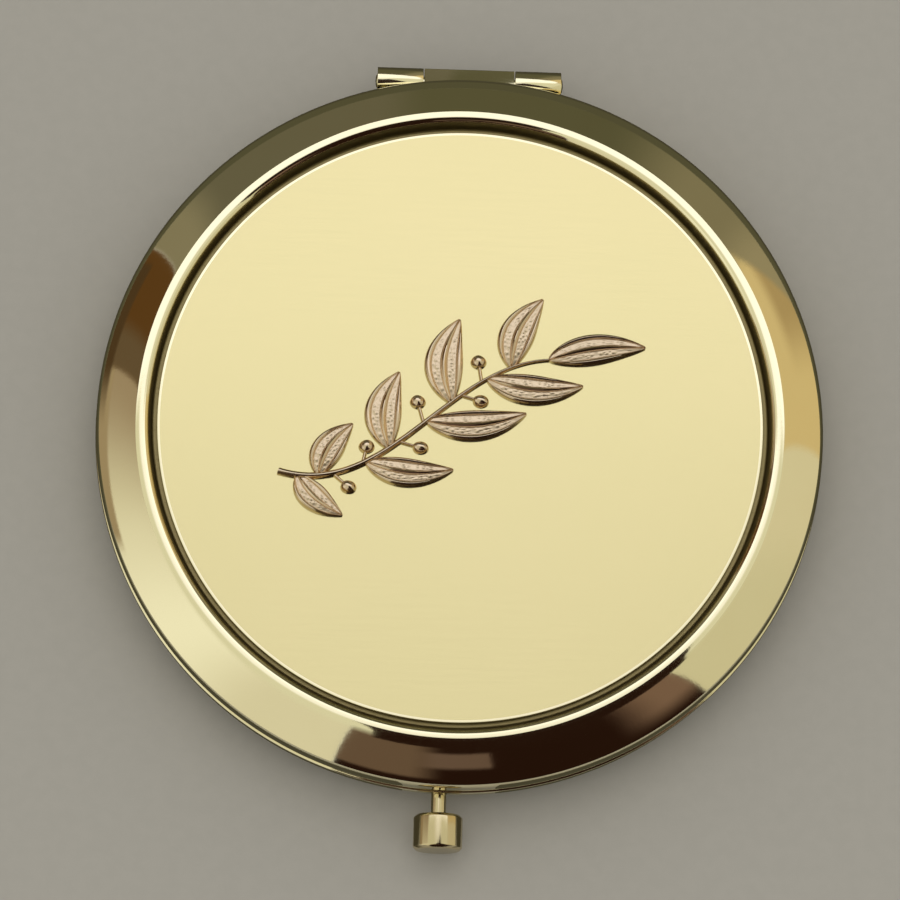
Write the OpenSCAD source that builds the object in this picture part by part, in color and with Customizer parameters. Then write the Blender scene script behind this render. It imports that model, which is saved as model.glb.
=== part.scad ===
// Round pocket mirror, closed and lying on its base.
// The lid turns on a pin hinge at the back (+Y) and the push button is at the front (-Y).
// Both halves are the same stamping: a short wall, a bowed rim, a narrow crest and a round recess.

/* [Body] */
// Diameter of the body
body_d = 70; // [62:0.5:90]
// Thickness of the stamped sheet
sheet_t = 0.4; // [0.3:0.05:0.44]
// Gap between the walls of the two halves
part_gap = 0.16; // [0.1:0.02:0.3]

/* [Rim] */
// Width of the rim, from the edge of the disc to the edge of the body
rim_w = 5.75; // [5.25:0.05:7]
// Width of the flat on top of the crest
crest_flat_w = 0.5; // [0.3:0.05:0.8]
// Bend radius on the inner side of the crest
crest_in_r = 0.45; // [0.45:0.05:0.6]
// Bend radius on the outer side of the crest
crest_out_r = 0.7; // [0.5:0.05:0.9]
// Bend radius where the rim turns into the wall
edge_r = 0.6; // [0.5:0.05:0.8]
// Fall of the rim, from its crest to the bend at the wall
rim_fall = 2.64; // [2:0.02:2.8]
// How much steeper the rim is next to the wall than next to the crest, in degrees
rim_bow = 17.5; // [4:0.5:24]
// Depth of the recess below the crest
recess_depth = 1.6; // [1.4:0.1:1.8]
// Slope of the recess wall, in degrees from level
recess_wall_angle = 72; // [66:1:80]
// Radius between the recess wall and its floor
floor_fillet_r = 0.3; // [0.2:0.05:0.4]

/* [Insert disc] */
// Thickness of the disc
disc_t = 0.45; // [0.3:0.05:0.5]
// Play between the disc and the floor's edge
disc_play = 0.08; // [0.04:0.02:0.2]
// Bevel round the top edge of the disc
disc_bevel = 0.12; // [0.05:0.01:0.2]
// Thickness of the adhesive film under the disc
tape_t = 0.1; // [0.05:0.01:0.2]
// Bare border of the disc outside the film
tape_inset = 0.6; // [0.3:0.1:2]

/* [Emblem] */
// Width of the sprig, along X
emblem_w = 35; // [28:0.5:40]
// Length of the sprig, along Y
emblem_l = 22; // [18:0.5:26]
// Height of the relief above the disc
emblem_relief = 1; // [0.7:0.05:1.05]
// Shift of the sprig towards the hinge
emblem_shift = 1.2; // [0:0.1:3]
// Length of the longest leaf
leaf_l = 10.2; // [8:0.2:12]
// Width of the longest leaf
leaf_w = 3.8; // [3:0.2:5]
// Width of the sprig's stalk
stalk_w = 0.9; // [0.7:0.05:1.2]
// Diameter of a berry
berry_d = 1.6; // [1.2:0.1:2]

/* [Mirrors] */
// Clearance between the latch bracket and the ring round the glass
latch_room = 0.3; // [0.2:0.05:2]
// Thickness of a glass
mirror_t = 1.6; // [1.2:0.1:1.6]
// Depth of the hollow in the magnifying glass
dish_depth = 0.35; // [0.2:0.05:0.5]
// Thickness of the adhesive pad behind a glass
pad_t = 0.3; // [0.2:0.05:0.3]
// Bare border of the glass outside its pad
pad_inset = 1.5; // [1:0.5:4]
// Thickness of the mirror ring
ring_t = 0.4; // [0.3:0.05:0.4]
// Reach of the ring's lip over the glass
ring_lip = 0.8; // [0.5:0.1:1.5]
// Depth of the ring below the parting plane
ring_drop = 0.7; // [0.5:0.1:1.5]
// Depth of the ring's skirt beside the glass
skirt_h = 1.1; // [0.8:0.1:1.4]
// Gap between the ring and the wall of its half
ring_gap = 0.25; // [0.15:0.05:0.4]

/* [Hinge] */
// Width of the hinge over its outer knuckles
hinge_w = 18; // [16:0.5:20]
// Width of the lid's middle knuckle
lid_knuckle_w = 8.8; // [7:0.2:10]
// Gap between neighbouring knuckles
knuckle_gap = 0.1; // [0.05:0.05:0.2]
// Diameter of the knuckles
barrel_d = 2.2; // [2:0.05:2.3]
// Distance of the pin's axis behind the body's edge
hinge_offset = 0.25; // [0.2:0.05:0.4]
// Diameter of the pin
pin_d = 1; // [0.8:0.05:1.1]
// Radial clearance of the pin in the lid's knuckle
pin_fit = 0.03; // [0.02:0.01:0.05]
// Diameter of the pin's peened ends
pin_head_d = 1.4; // [1.3:0.05:1.6]
// Height of a peened end
pin_head_h = 0.18; // [0.1:0.02:0.25]
// Thickness of the hinge leaves
leaf_plate_t = 0.5; // [0.4:0.05:0.5]
// Reach of the leaf inside the wall past the outer knuckles
leaf_ear = 2.5; // [1:0.25:4]

/* [Button and latch] */
// Place of the button along X
button_offset = -1; // [-3:0.1:3]
// Drop of the stem's axis below the parting plane
button_drop = 1.35; // [1.3:0.05:1.4]
// Diameter of the knob
knob_d = 4.7; // [4:0.1:5.2]
// Length of the knob
knob_l = 3.4; // [2.8:0.1:4]
// Bevel round the ends of the knob
knob_bevel = 0.28; // [0.1:0.02:0.4]
// Gap that is left between the body and the knob when it is pressed
knob_room = 1.1; // [0.6:0.1:1.6]
// Diameter of the stem
stem_d = 1.45; // [1.2:0.05:1.5]
// Radial clearance of the stem in the wall
stem_fit = 0.06; // [0.03:0.01:0.08]
// Depth of the stem in the knob
stem_seat = 1.8; // [1.2:0.1:2.4]
// Diameter of the stem's tail
tail_d = 0.9; // [0.8:0.05:1]
// Travel of the button
button_travel = 1; // [0.6:0.1:1.1]
// Gap between the stop collar and the wall
stop_gap = 0.2; // [0.15:0.05:0.3]
// Length of the stop collar
collar_l = 1; // [0.8:0.05:1.2]
// Diameter of the stop collar
collar_d = 1.9; // [1.8:0.05:2]
// Thickness of the hook plate
hook_t = 0.5; // [0.4:0.05:0.6]
// Width of the hook plate
hook_w = 3.2; // [2.6:0.1:3.6]
// Reach of the hook's nose in front of its plate
nose_l = 0.4; // [0.3:0.05:0.5]
// Height of the hook's nose
nose_h = 0.6; // [0.4:0.05:0.7]
// Clearance between the hook and the catch
latch_gap = 0.1; // [0.08:0.01:0.15]
// Thickness of the catch's tab
catch_t = 0.3; // [0.25:0.05:0.4]
// Height of the catch's ledge
ledge_h = 0.5; // [0.4:0.05:0.6]
// Width of the catch
catch_w = 3; // [2.4:0.1:3.4]
// Length of the return spring when the button is pressed
spring_pressed_l = 1.7; // [1.4:0.1:2]
// Wire of the return spring
spring_wire_d = 0.25; // [0.2:0.01:0.26]
// Turns of the return spring
spring_turns = 4.5; // [3.5:0.5:5]
// Thickness of the latch bracket
bracket_t = 0.4; // [0.3:0.05:0.5]
// Width of the latch bracket
bracket_w = 4; // [3.4:0.1:4.4]

/* [Hidden] */
$fn = 64;
body_fn = 180;

// Gap between pieces that are fixed to each other round a curve
fit_gap = 0.05;
// Radial gap of a pressed or peened joint
press_gap = 0.01;
// Overrun of a cut past the faces it goes through
over = 0.5;

// Height of one half, from the parting plane to its crest, and the stack of pieces that sets it
half_h = ring_drop + ring_t + mirror_t + pad_t + sheet_t + recess_depth;

// Rim of one half, as distances from the centre and heights above the parting plane
body_r = body_d / 2;
wall_in_r = body_r - sheet_t;
wall_start = part_gap / 2;
floor_h = half_h - recess_depth;
disc_r = body_r - rim_w;
floor_r = disc_r + disc_play;
wall_low_h = floor_h + floor_fillet_r * (1 - cos(recess_wall_angle));
wall_high_h = half_h - crest_in_r * (1 - cos(recess_wall_angle));
wall_run = (wall_high_h - wall_low_h) / tan(recess_wall_angle);
crest_in_x = floor_r + (floor_fillet_r + crest_in_r) * sin(recess_wall_angle) + wall_run;
crest_out_x = crest_in_x + crest_flat_w;
rim_slope = atan(rim_fall / (body_r - crest_out_x));
rim_top_angle = rim_slope - rim_bow / 2;
rim_edge_angle = rim_slope + rim_bow / 2;
rim_run = body_r - crest_out_x - crest_out_r * sin(rim_top_angle) - edge_r * (1 - sin(rim_edge_angle));
rim_r = rim_run / (sin(rim_edge_angle) - sin(rim_top_angle));
floor_centre = [floor_r, floor_h + floor_fillet_r];
crest_in_centre = [crest_in_x, half_h - crest_in_r];
crest_out_centre = [crest_out_x, half_h - crest_out_r];
rim_centre = crest_out_centre - (rim_r - crest_out_r) * [sin(rim_top_angle), cos(rim_top_angle)];
edge_centre = rim_centre + (rim_r - edge_r) * [sin(rim_edge_angle), cos(rim_edge_angle)];
wall_h = edge_centre[1];

// Places along the button's axis, from the knob to the end of the bracket's foot
knob_y = -body_r - knob_room - button_travel;
collar_y = stop_gap - wall_in_r;
hook_y = collar_y + collar_l;
spring_y = hook_y + hook_t;
bracket_y = spring_y + spring_pressed_l + button_travel;
foot_y = bracket_y + bracket_t;
tail_y = foot_y + fit_gap;
foot_end_y = tail_y + button_travel;

// Underside of the disc
disc_z = half_h + floor_h + tape_t;

// Insides of one half, as heights from the parting plane
inner_floor_h = floor_h - sheet_t;
mirror_back_h = inner_floor_h - pad_t;
mirror_front_h = mirror_back_h - mirror_t;
mirror_r = -foot_end_y - latch_room - ring_t - fit_gap;
ring_front_h = mirror_front_h - ring_t;
ring_r = wall_in_r - ring_gap;
skirt_in_r = mirror_r + fit_gap;
skirt_r = skirt_in_r + ring_t;
mirror_bevel = mirror_t / 10;

// Hinge
hinge_y = body_r + hinge_offset;
barrel_r = barrel_d / 2;
pin_r = pin_d / 2;
hinge_end = hinge_w / 2;
lid_knuckle_end = lid_knuckle_w / 2;
base_knuckle_start = lid_knuckle_end + knuckle_gap;
notch_end = hinge_end + 3 * knuckle_gap;
notch_h = barrel_r + 2 * knuckle_gap;
leaf_out_r = wall_in_r - fit_gap;
leaf_in_r = leaf_out_r - leaf_plate_t;
leaf_low_h = barrel_r + knuckle_gap;
leaf_high_h = wall_h - fit_gap;
leaf_plate_end = hinge_end + leaf_ear;
leaf_relief_r = leaf_in_r - 2 * ring_gap;

// Latch
stem_z = half_h - button_drop;
stem_r = stem_d / 2;
tail_r = tail_d / 2;
nose_y = hook_y - nose_l;
ledge_y = nose_y - latch_gap;
ledge_low_h = part_gap / 2 + ring_front_h;
nose_low_h = ledge_low_h + ledge_h + latch_gap;
hook_high_h = nose_low_h + nose_h;
window_w = bracket_w + 2 * ring_gap;
spring_r = tail_r + spring_wire_d / 2 + (stem_r - tail_r) / 2;

// Sprig: its stalk's curve as shares of the emblem's width and length, from the cut end to the tip
stalk_path_shares = [[-0.5, -0.36], [-0.2, -0.52], [-0.04, 0.26], [0.24, 0.3]];
// Each leaf: its place on the stalk, its side, its length, its angle to the stalk in degrees, its bend
leaf_shares = [[0.06, -1, 0.64, 40, 0.09], [0.13, 1, 0.7, 56, 0.1], [0.3, -1, 0.84, 38, 0.1],
               [0.39, 1, 0.92, 44, 0.11], [0.54, -1, 0.96, 38, 0.1], [0.64, 1, 1, 42, 0.11],
               [0.78, -1, 0.92, 40, 0.1], [0.87, 1, 0.88, 44, 0.1], [1, 1, 0.94, 6, 0.06]];
// Each berry: its place on the stalk, its side, its reach as a share of a leaf, its angle
berry_shares = [[0.18, -1, 0.22, 62], [0.29, 1, 0.2, 48], [0.43, -1, 0.22, 60], [0.53, 1, 0.26, 58],
                [0.68, -1, 0.2, 62], [0.76, 1, 0.24, 60]];
// Section of a leaf: place across its half width, height as a share of the relief
leaf_section_shares = [[-1, 0.42], [-0.84, 0.86], [-0.66, 0.84], [-0.54, 0.56], [-0.12, 0.66], [0, 0.92],
                       [0.12, 0.66], [0.54, 0.56], [0.66, 0.84], [0.84, 0.86], [1, 0.42]];
leaf_steps = 12;
leaf_tip_share = 0.05;
// Powers that set how far along a leaf it is widest and how full it is, and its height at the tips
leaf_reach_share = 0.86;
leaf_full_share = 0.82;
leaf_low_share = 0.5;
stalk_steps = 24;
stalk_sides = 7;
stalk_taper_share = 0.45;
berry_steps = 8;
berry_tip_share = 0.94;

function polar(a) = [cos(a), sin(a)];
function arc(centre, r, from, to, steps) =
    [for (i = [0:steps]) centre + r * polar(from + (to - from) * i / steps)];
function bezier(p, t) =
    pow(1 - t, 3) * p[0] + 3 * t * pow(1 - t, 2) * p[1] + 3 * t * t * (1 - t) * p[2] + pow(t, 3) * p[3];
function bezier_slope(p, t) =
    3 * pow(1 - t, 2) * (p[1] - p[0]) + 6 * t * (1 - t) * (p[2] - p[1]) + 3 * t * t * (p[3] - p[2]);
function heading(v) = atan2(v[1], v[0]);

// Outline of the sheet on its outside (inset 0) or its inside (inset sheet_t), from the wall to the centre
function half_outline(inset) = concat(
    [[body_r - inset, wall_start]],
    arc(edge_centre, edge_r - inset, 0, 90 - rim_edge_angle, 5),
    arc(rim_centre, rim_r - inset, 90 - rim_edge_angle, 90 - rim_top_angle, 8),
    arc(crest_out_centre, crest_out_r - inset, 90 - rim_top_angle, 90, 4),
    arc(crest_in_centre, crest_in_r - inset, 90, 90 + recess_wall_angle, 6),
    arc(floor_centre, floor_fillet_r + inset, recess_wall_angle - 90, -90, 5),
    [[0, floor_h - inset]]);
function reversed(list) = [for (i = [len(list) - 1:-1:0]) list[i]];

// Closed skin over a row of loops that each have the same number of points
module skin(loops) {
    n = len(loops[0]);
    rows = len(loops);
    polyhedron(
        points = [for (loop = loops) each loop],
        faces = concat(
            [[for (i = [n - 1:-1:0]) i]],
            [for (k = [0:rows - 2], i = [0:n - 1]) let (j = (i + 1) % n, a = k * n, b = a + n)
                each [[a + i, a + j, b + i], [a + j, b + j, b + i]]],
            [[for (i = [0:n - 1]) (rows - 1) * n + i]]));
}

// Places a piece drawn as heights above the parting plane in the lid, or turned over in the base
module in_lid() {
    translate([0, 0, half_h]) children();
}
module in_base() {
    translate([0, 0, half_h]) mirror([0, 0, 1]) children();
}

// Box from its lowest to its highest corner
module block(low, high) {
    translate(low) cube(high - low);
}
module rod_x(r, from, to, y, z) {
    translate([from, y, z]) rotate([0, 90, 0]) cylinder(r = r, h = to - from);
}
module rod_y(r, from, to, x, z) {
    translate([x, from, z]) rotate([-90, 0, 0]) cylinder(r = r, h = to - from);
}
module tube(in_r, out_r, low, high) {
    translate([0, 0, low]) difference() {
        cylinder(r = out_r, h = high - low, $fn = body_fn);
        translate([0, 0, -over]) cylinder(r = in_r, h = high - low + 2 * over, $fn = body_fn);
    }
}

// One stamped half, with the gap in its back wall that takes the knuckles
module half_shell() {
    difference() {
        rotate_extrude($fn = body_fn) polygon(concat(half_outline(0), reversed(half_outline(sheet_t))));
        block([-notch_end, leaf_in_r - barrel_r, -over], [notch_end, hinge_y, notch_h]);
    }
}

module lid_shell() {
    color("palegoldenrod") in_lid() half_shell();
}

module base_shell() {
    color("palegoldenrod") difference() {
        in_base() half_shell();
        rod_y(stem_r + stem_fit, -body_r - over, hook_y, button_offset, stem_z);
    }
}

// Adhesive pad, glass and ring of one half
module mirror_pad() {
    translate([0, 0, mirror_back_h]) cylinder(r = mirror_r - pad_inset, h = pad_t, $fn = body_fn);
}
module flat_mirror() {
    rotate_extrude($fn = body_fn) polygon([[0, mirror_front_h], [mirror_r - mirror_bevel, mirror_front_h],
        [mirror_r, mirror_front_h + mirror_bevel], [mirror_r, mirror_back_h], [0, mirror_back_h]]);
}
module dished_mirror() {
    dish_r = (mirror_r * mirror_r + dish_depth * dish_depth) / (2 * dish_depth);
    dish_angle = asin(mirror_r / dish_r);
    dish_centre = [0, mirror_front_h + dish_depth - dish_r];
    rotate_extrude($fn = body_fn)
        polygon(concat(arc(dish_centre, dish_r, 90, 90 - dish_angle, 10),
            [[mirror_r, mirror_back_h], [0, mirror_back_h]]));
}

// Ring that fills the space between the glass and the wall, open behind the knuckles and at the latch
module mirror_ring() {
    lip_r = mirror_r - ring_lip;
    lip_bevel = ring_t / 2;
    difference() {
        rotate_extrude($fn = body_fn) polygon([[lip_r, mirror_front_h], [lip_r, mirror_front_h - lip_bevel],
            [lip_r + lip_bevel, ring_front_h], [ring_r - lip_bevel, ring_front_h],
            [ring_r, ring_front_h + lip_bevel], [ring_r, mirror_front_h], [skirt_r, mirror_front_h],
            [skirt_r, mirror_front_h + skirt_h], [skirt_in_r, mirror_front_h + skirt_h],
            [skirt_in_r, mirror_front_h]]);
        intersection() {
            tube(leaf_relief_r, body_r, ring_front_h - over, mirror_front_h + over);
            block([-notch_end, 0, ring_front_h - over], [notch_end, body_r, mirror_front_h + over]);
        }
        intersection() {
            tube(skirt_r + fit_gap, body_r, ring_front_h - over, mirror_front_h + over);
            block([button_offset - window_w / 2, -body_r, ring_front_h - over],
                [button_offset + window_w / 2, 0, mirror_front_h + over]);
        }
    }
}

module base_mirror_pad() {
    color("dimgray") in_base() mirror_pad();
}
module base_mirror() {
    color("lightsteelblue") in_base() dished_mirror();
}
module base_mirror_ring() {
    color("khaki") in_base() mirror_ring();
}
module lid_mirror_pad() {
    color("dimgray") in_lid() mirror_pad();
}
module lid_mirror() {
    color("lightsteelblue") in_lid() flat_mirror();
}
module lid_mirror_ring() {
    color("khaki") in_lid() mirror_ring();
}

// Hinge leaf: a curved plate inside the wall, and a knuckle with its arm for each span along X
module hinge_leaf(spans, bore_r) {
    strip_low_h = barrel_r - leaf_plate_t;
    intersection() {
        tube(leaf_in_r, leaf_out_r, -over, half_h);
        union() {
            block([-leaf_plate_end, 0, leaf_low_h], [leaf_plate_end, body_r, leaf_high_h]);
            for (span = spans)
                block([span[0], 0, strip_low_h], [span[1], body_r, (leaf_low_h + leaf_high_h) / 2]);
        }
    }
    for (span = spans) difference() {
        union() {
            rod_x(barrel_r, span[0], span[1], hinge_y, 0);
            difference() {
                block([span[0], leaf_in_r - barrel_r, strip_low_h], [span[1], hinge_y, barrel_r]);
                translate([0, 0, -over])
                    cylinder(r = (leaf_in_r + leaf_out_r) / 2, h = half_h, $fn = body_fn);
            }
        }
        rod_x(bore_r, span[0] - over, span[1] + over, hinge_y, 0);
    }
}
module lid_hinge_leaf() {
    color("goldenrod") in_lid() hinge_leaf([[-lid_knuckle_end, lid_knuckle_end]], pin_r + pin_fit);
}
module base_hinge_leaf() {
    color("goldenrod") in_base()
        hinge_leaf([[-hinge_end, -base_knuckle_start], [base_knuckle_start, hinge_end]], pin_r + press_gap);
}

// Pin with its two peened ends
module hinge_pin() {
    head_r = pin_head_d / 2;
    end_y = hinge_end + press_gap;
    color("darkgoldenrod") translate([0, hinge_y, half_h]) rotate([0, 90, 0]) rotate_extrude()
        polygon([[0, -end_y - pin_head_h], [head_r - pin_head_h, -end_y - pin_head_h],
            [head_r, -end_y], [pin_r, -end_y], [pin_r, end_y], [head_r, end_y],
            [head_r - pin_head_h, end_y + pin_head_h], [0, end_y + pin_head_h]]);
}

// Disc glued in the recess of the lid, and its adhesive film
module lid_disc_tape() {
    color("white") translate([0, 0, half_h + floor_h])
        cylinder(r = disc_r - tape_inset, h = tape_t, $fn = body_fn);
}
module lid_insert_disc() {
    color("lemonchiffon") translate([0, 0, disc_z]) rotate_extrude($fn = body_fn)
        polygon([[0, 0], [disc_r, 0], [disc_r, disc_t - disc_bevel], [disc_r - disc_bevel, disc_t],
            [0, disc_t]]);
}

// Sprig in relief. A leaf is a lens with a raised border, a sunk field and a raised midrib.
function stalk_point(t) = let (p = bezier(stalk_path_shares, t)) [p[0] * emblem_w, p[1] * emblem_l];
function stalk_heading(t) =
    let (v = bezier_slope(stalk_path_shares, t)) heading([v[0] * emblem_w, v[1] * emblem_l]);
function leaf_spread(u) =
    leaf_tip_share + (1 - leaf_tip_share) * pow(sin(180 * pow(u, leaf_reach_share)), leaf_full_share);
function leaf_loops(length, width, bend) = [for (k = [0:leaf_steps])
    let (u = k / leaf_steps, half = width / 2 * leaf_spread(u), x = length * u,
        y = bend * length * sin(180 * u), turn = atan(bend * PI * cos(180 * u)),
        rise = emblem_relief * (leaf_low_share + (1 - leaf_low_share) * leaf_spread(u)))
    concat(
        [[x + half * sin(turn), y - half * cos(turn), 0]],
        [for (s = leaf_section_shares)
            [x - s[0] * half * sin(turn), y + s[0] * half * cos(turn), s[1] * rise]],
        [[x - half * sin(turn), y + half * cos(turn), 0]])];
module leaf(place) {
    t = place[0];
    side = place[1];
    grow = place[2];
    translate(concat(stalk_point(t), [0])) rotate([0, 0, stalk_heading(t) + side * place[3]])
        skin(leaf_loops(leaf_l * grow, leaf_w * sqrt(grow), side * place[4]));
}
// Half-round rib through points, as high as a berry where it is as wide as one
module rib(points, widths) {
    last = len(points) - 1;
    skin([for (k = [0:last])
        let (v = points[min(k + 1, last)] - points[max(k - 1, 0)], a = heading(v), w = widths[k] / 2,
            h = emblem_relief * sqrt(widths[k] / berry_d))
        [for (i = [0:stalk_sides - 1]) let (b = 180 * i / (stalk_sides - 1))
            concat(points[k] + w * cos(b) * [sin(a), -cos(a)], [h * sin(b)])]]);
}
// Berry on its own short stalk, as one rib that swells
module berry(place) {
    start = stalk_point(place[0]);
    way = polar(stalk_heading(place[0]) + place[1] * place[3]);
    thin_w = stalk_w * stalk_taper_share;
    neck = asin(thin_w / berry_d);
    swell = [for (k = [0:berry_steps]) neck + (180 * berry_tip_share - neck) * k / berry_steps];
    rib(concat([start], [for (a = swell) start + (place[2] * leaf_l - berry_d / 2 * cos(a)) * way]),
        concat([thin_w], [for (a = swell) berry_d * sin(a)]));
}
module sprig() {
    ts = [for (k = [0:stalk_steps]) k / stalk_steps];
    rib([for (t = ts) stalk_point(t)], [for (t = ts) stalk_w * (1 - (1 - stalk_taper_share) * t)]);
    for (place = leaf_shares) leaf(place);
    for (place = berry_shares) berry(place);
}
module emblem() {
    color("rosybrown") translate([0, emblem_shift, disc_z + disc_t])
        resize([emblem_w, emblem_l, emblem_relief]) sprig();
}

// Push button: knob on its stem, with a stop collar and the hook plate inside the wall
module button_knob() {
    knob_r = knob_d / 2;
    color("gold") translate([button_offset, knob_y, stem_z]) rotate([90, 0, 0]) difference() {
        rotate_extrude() polygon([[0, 0], [knob_r - knob_bevel, 0], [knob_r, knob_bevel],
            [knob_r, knob_l - knob_bevel], [knob_r - knob_bevel, knob_l], [0, knob_l]]);
        translate([0, 0, -over]) cylinder(r = stem_r + press_gap, h = stem_seat + over);
    }
}
module button_stem() {
    color("khaki") union() {
        rod_y(stem_r, knob_y - stem_seat, hook_y, button_offset, stem_z);
        rod_y(tail_r, hook_y - over, tail_y, button_offset, stem_z);
    }
}
module stop_collar() {
    collar_r = collar_d / 2;
    collar_bevel = (collar_r - stem_r) / 2;
    color("goldenrod") translate([button_offset, hook_y, stem_z]) rotate([90, 0, 0]) difference() {
        rotate_extrude() polygon([[0, 0], [collar_r, 0], [collar_r, collar_l - collar_bevel],
            [collar_r - collar_bevel, collar_l], [0, collar_l]]);
        translate([0, 0, -over]) cylinder(r = stem_r + press_gap, h = collar_l + 2 * over);
    }
}

// Side view of a latch piece, as places along Y and Z, drawn out across the button's axis
module across(width) {
    translate([button_offset - width / 2, 0, 0]) rotate([90, 0, 90]) linear_extrude(width) children();
}

// Plate with a nose that catches over the ledge in the lid
module latch_hook() {
    plate_low = stem_z - tail_d;
    plate_high = half_h + hook_high_h;
    nose_low = half_h + nose_low_h;
    nose_face_high = nose_low + nose_h / 4;
    color("silver") difference() {
        across(hook_w) polygon([[hook_y, plate_low], [spring_y, plate_low], [spring_y, plate_high],
            [hook_y, plate_high], [nose_y, nose_face_high], [nose_y, nose_low], [hook_y, nose_low]]);
        rod_y(tail_r + press_gap, hook_y - over, spring_y + over, button_offset, stem_z);
    }
}
module lid_catch() {
    color("silver") in_lid() intersection() {
        difference() {
            cylinder(r = leaf_out_r, h = leaf_high_h, $fn = body_fn);
            difference() {
                cylinder(r = leaf_out_r - catch_t, h = leaf_high_h, $fn = body_fn);
                block([-body_r, -body_r, ledge_low_h], [body_r, ledge_y, ledge_low_h + ledge_h]);
            }
        }
        block([button_offset - catch_w / 2, -body_r, ring_front_h / 2],
            [button_offset + catch_w / 2, 0, leaf_high_h]);
    }
}

// Angle on the floor of the base that guides the tail and backs the spring
module latch_bracket() {
    floor_z = half_h - inner_floor_h;
    plate_high = stem_z + tail_r + bracket_t;
    color("silver") difference() {
        across(bracket_w) polygon([[bracket_y, floor_z], [foot_end_y, floor_z],
            [foot_end_y, floor_z + bracket_t], [foot_y, floor_z + bracket_t],
            [foot_y, plate_high], [bracket_y, plate_high]]);
        rod_y(tail_r + fit_gap, bracket_y - over, foot_y + over, button_offset, stem_z);
    }
}

// Coil spring round the tail, between the hook plate and the bracket
module return_spring() {
    turn_steps = 14;
    wire_sides = 6;
    wire_r = spring_wire_d / 2;
    run = bracket_y - spring_y - spring_wire_d - 2 * fit_gap;
    steps = ceil(spring_turns * turn_steps);
    color("silver") translate([button_offset, spring_y + fit_gap + wire_r, stem_z])
        skin([for (k = [0:steps]) let (u = k / steps, a = 360 * spring_turns * u)
            [for (i = [0:wire_sides - 1]) let (b = -360 * i / wire_sides, r = spring_r + wire_r * cos(b))
                [r * cos(a), run * u + wire_r * sin(b), r * sin(a)]]]);
}

base_shell();
base_mirror_pad();
base_mirror();
base_mirror_ring();
base_hinge_leaf();
hinge_pin();
latch_bracket();
lid_shell();
lid_disc_tape();
lid_insert_disc();
emblem();
lid_mirror_pad();
lid_mirror();
lid_mirror_ring();
lid_hinge_leaf();
lid_catch();
button_knob();
button_stem();
stop_collar();
latch_hook();
return_spring();
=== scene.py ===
"""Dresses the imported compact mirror: pressings, disc, sprig, glasses, hinge, button, latch and studio."""

import math

import bmesh
import bpy
from bpy.props import FloatProperty, FloatVectorProperty, IntProperty, PointerProperty
from mathutils import Matrix, Vector, noise


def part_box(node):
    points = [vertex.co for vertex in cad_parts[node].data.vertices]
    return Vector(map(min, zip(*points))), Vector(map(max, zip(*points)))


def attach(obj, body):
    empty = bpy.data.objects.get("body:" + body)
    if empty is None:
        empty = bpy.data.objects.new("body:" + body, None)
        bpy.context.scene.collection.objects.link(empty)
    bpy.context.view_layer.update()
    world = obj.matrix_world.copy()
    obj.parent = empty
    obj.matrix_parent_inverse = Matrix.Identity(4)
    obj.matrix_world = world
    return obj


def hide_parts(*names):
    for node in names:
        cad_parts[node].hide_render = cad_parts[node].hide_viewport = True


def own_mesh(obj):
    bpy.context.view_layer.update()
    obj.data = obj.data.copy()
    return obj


bl_info = {
    "name": "Compact mirror dresser",
    "version": (1, 0, 0),
    "blender": (4, 5, 0),
    "location": "View3D > Sidebar > Compact",
    "description": "Builds the finished surfaces of a pressed compact mirror round its packed frame",
    "category": "Object",
}

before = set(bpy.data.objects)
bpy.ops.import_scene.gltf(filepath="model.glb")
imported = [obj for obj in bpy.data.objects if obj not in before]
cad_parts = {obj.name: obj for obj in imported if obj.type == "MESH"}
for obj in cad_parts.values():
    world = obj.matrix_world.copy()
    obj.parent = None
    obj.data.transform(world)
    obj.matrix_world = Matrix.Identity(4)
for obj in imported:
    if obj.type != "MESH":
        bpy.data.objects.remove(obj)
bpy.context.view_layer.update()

MM = 0.001
TINY = 1e-7
FULL_TURN = 2 * math.pi
# Edges sharper than this, in degrees, stay sharp where a piece says nothing else
SHARP = 32
# How far a cutter reaches past what it cuts
OVERRUN = 1 * MM

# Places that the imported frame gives
LID_LOW, LID_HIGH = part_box("lid_shell")
BASE_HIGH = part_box("base_shell")[1]
DISC_LOW, DISC_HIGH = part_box("lid_insert_disc")
SPRIG_LOW, SPRIG_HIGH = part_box("emblem")
GLASS_LOW, GLASS_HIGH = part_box("lid_mirror")
RING_LOW, RING_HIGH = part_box("lid_mirror_ring")
PIN_LOW, PIN_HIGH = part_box("hinge_pin")
LEAF_LOW, LEAF_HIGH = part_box("base_hinge_leaf")
KNOB_LOW, KNOB_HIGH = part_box("button_knob")
STEM_LOW, STEM_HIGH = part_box("button_stem")
SPRING_LOW, SPRING_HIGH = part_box("return_spring")
PARTING_Z = (LID_LOW.z + BASE_HIGH.z) / 2
BODY_R = LID_HIGH.x
HALF_H = LID_HIGH.z - PARTING_Z
HINGE_Y = (PIN_LOW.y + PIN_HIGH.y) / 2
HINGE_Z = (PIN_LOW.z + PIN_HIGH.z) / 2
BUTTON_X = (KNOB_LOW.x + KNOB_HIGH.x) / 2
BUTTON_Z = (KNOB_LOW.z + KNOB_HIGH.z) / 2


def length(name, description, millimetres):
    """A size property in metres, with its default in millimetres."""
    return FloatProperty(name=name, description=description, default=millimetres * MM, precision=5,
                         unit="LENGTH")


def angle(name, description, degrees):
    """An angle property, with its default in degrees."""
    return FloatProperty(name=name, description=description, default=math.radians(degrees), subtype="ANGLE",
                         unit="ROTATION")


def roughness(name, description, value):
    """A property for the roughness of a finish, 0 for a mirror."""
    return FloatProperty(name=name, description=description, default=value, min=0.0, subtype="FACTOR")


def count(name, description, value):
    """A whole-number property."""
    return IntProperty(name=name, description=description, default=value, min=3)


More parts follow.
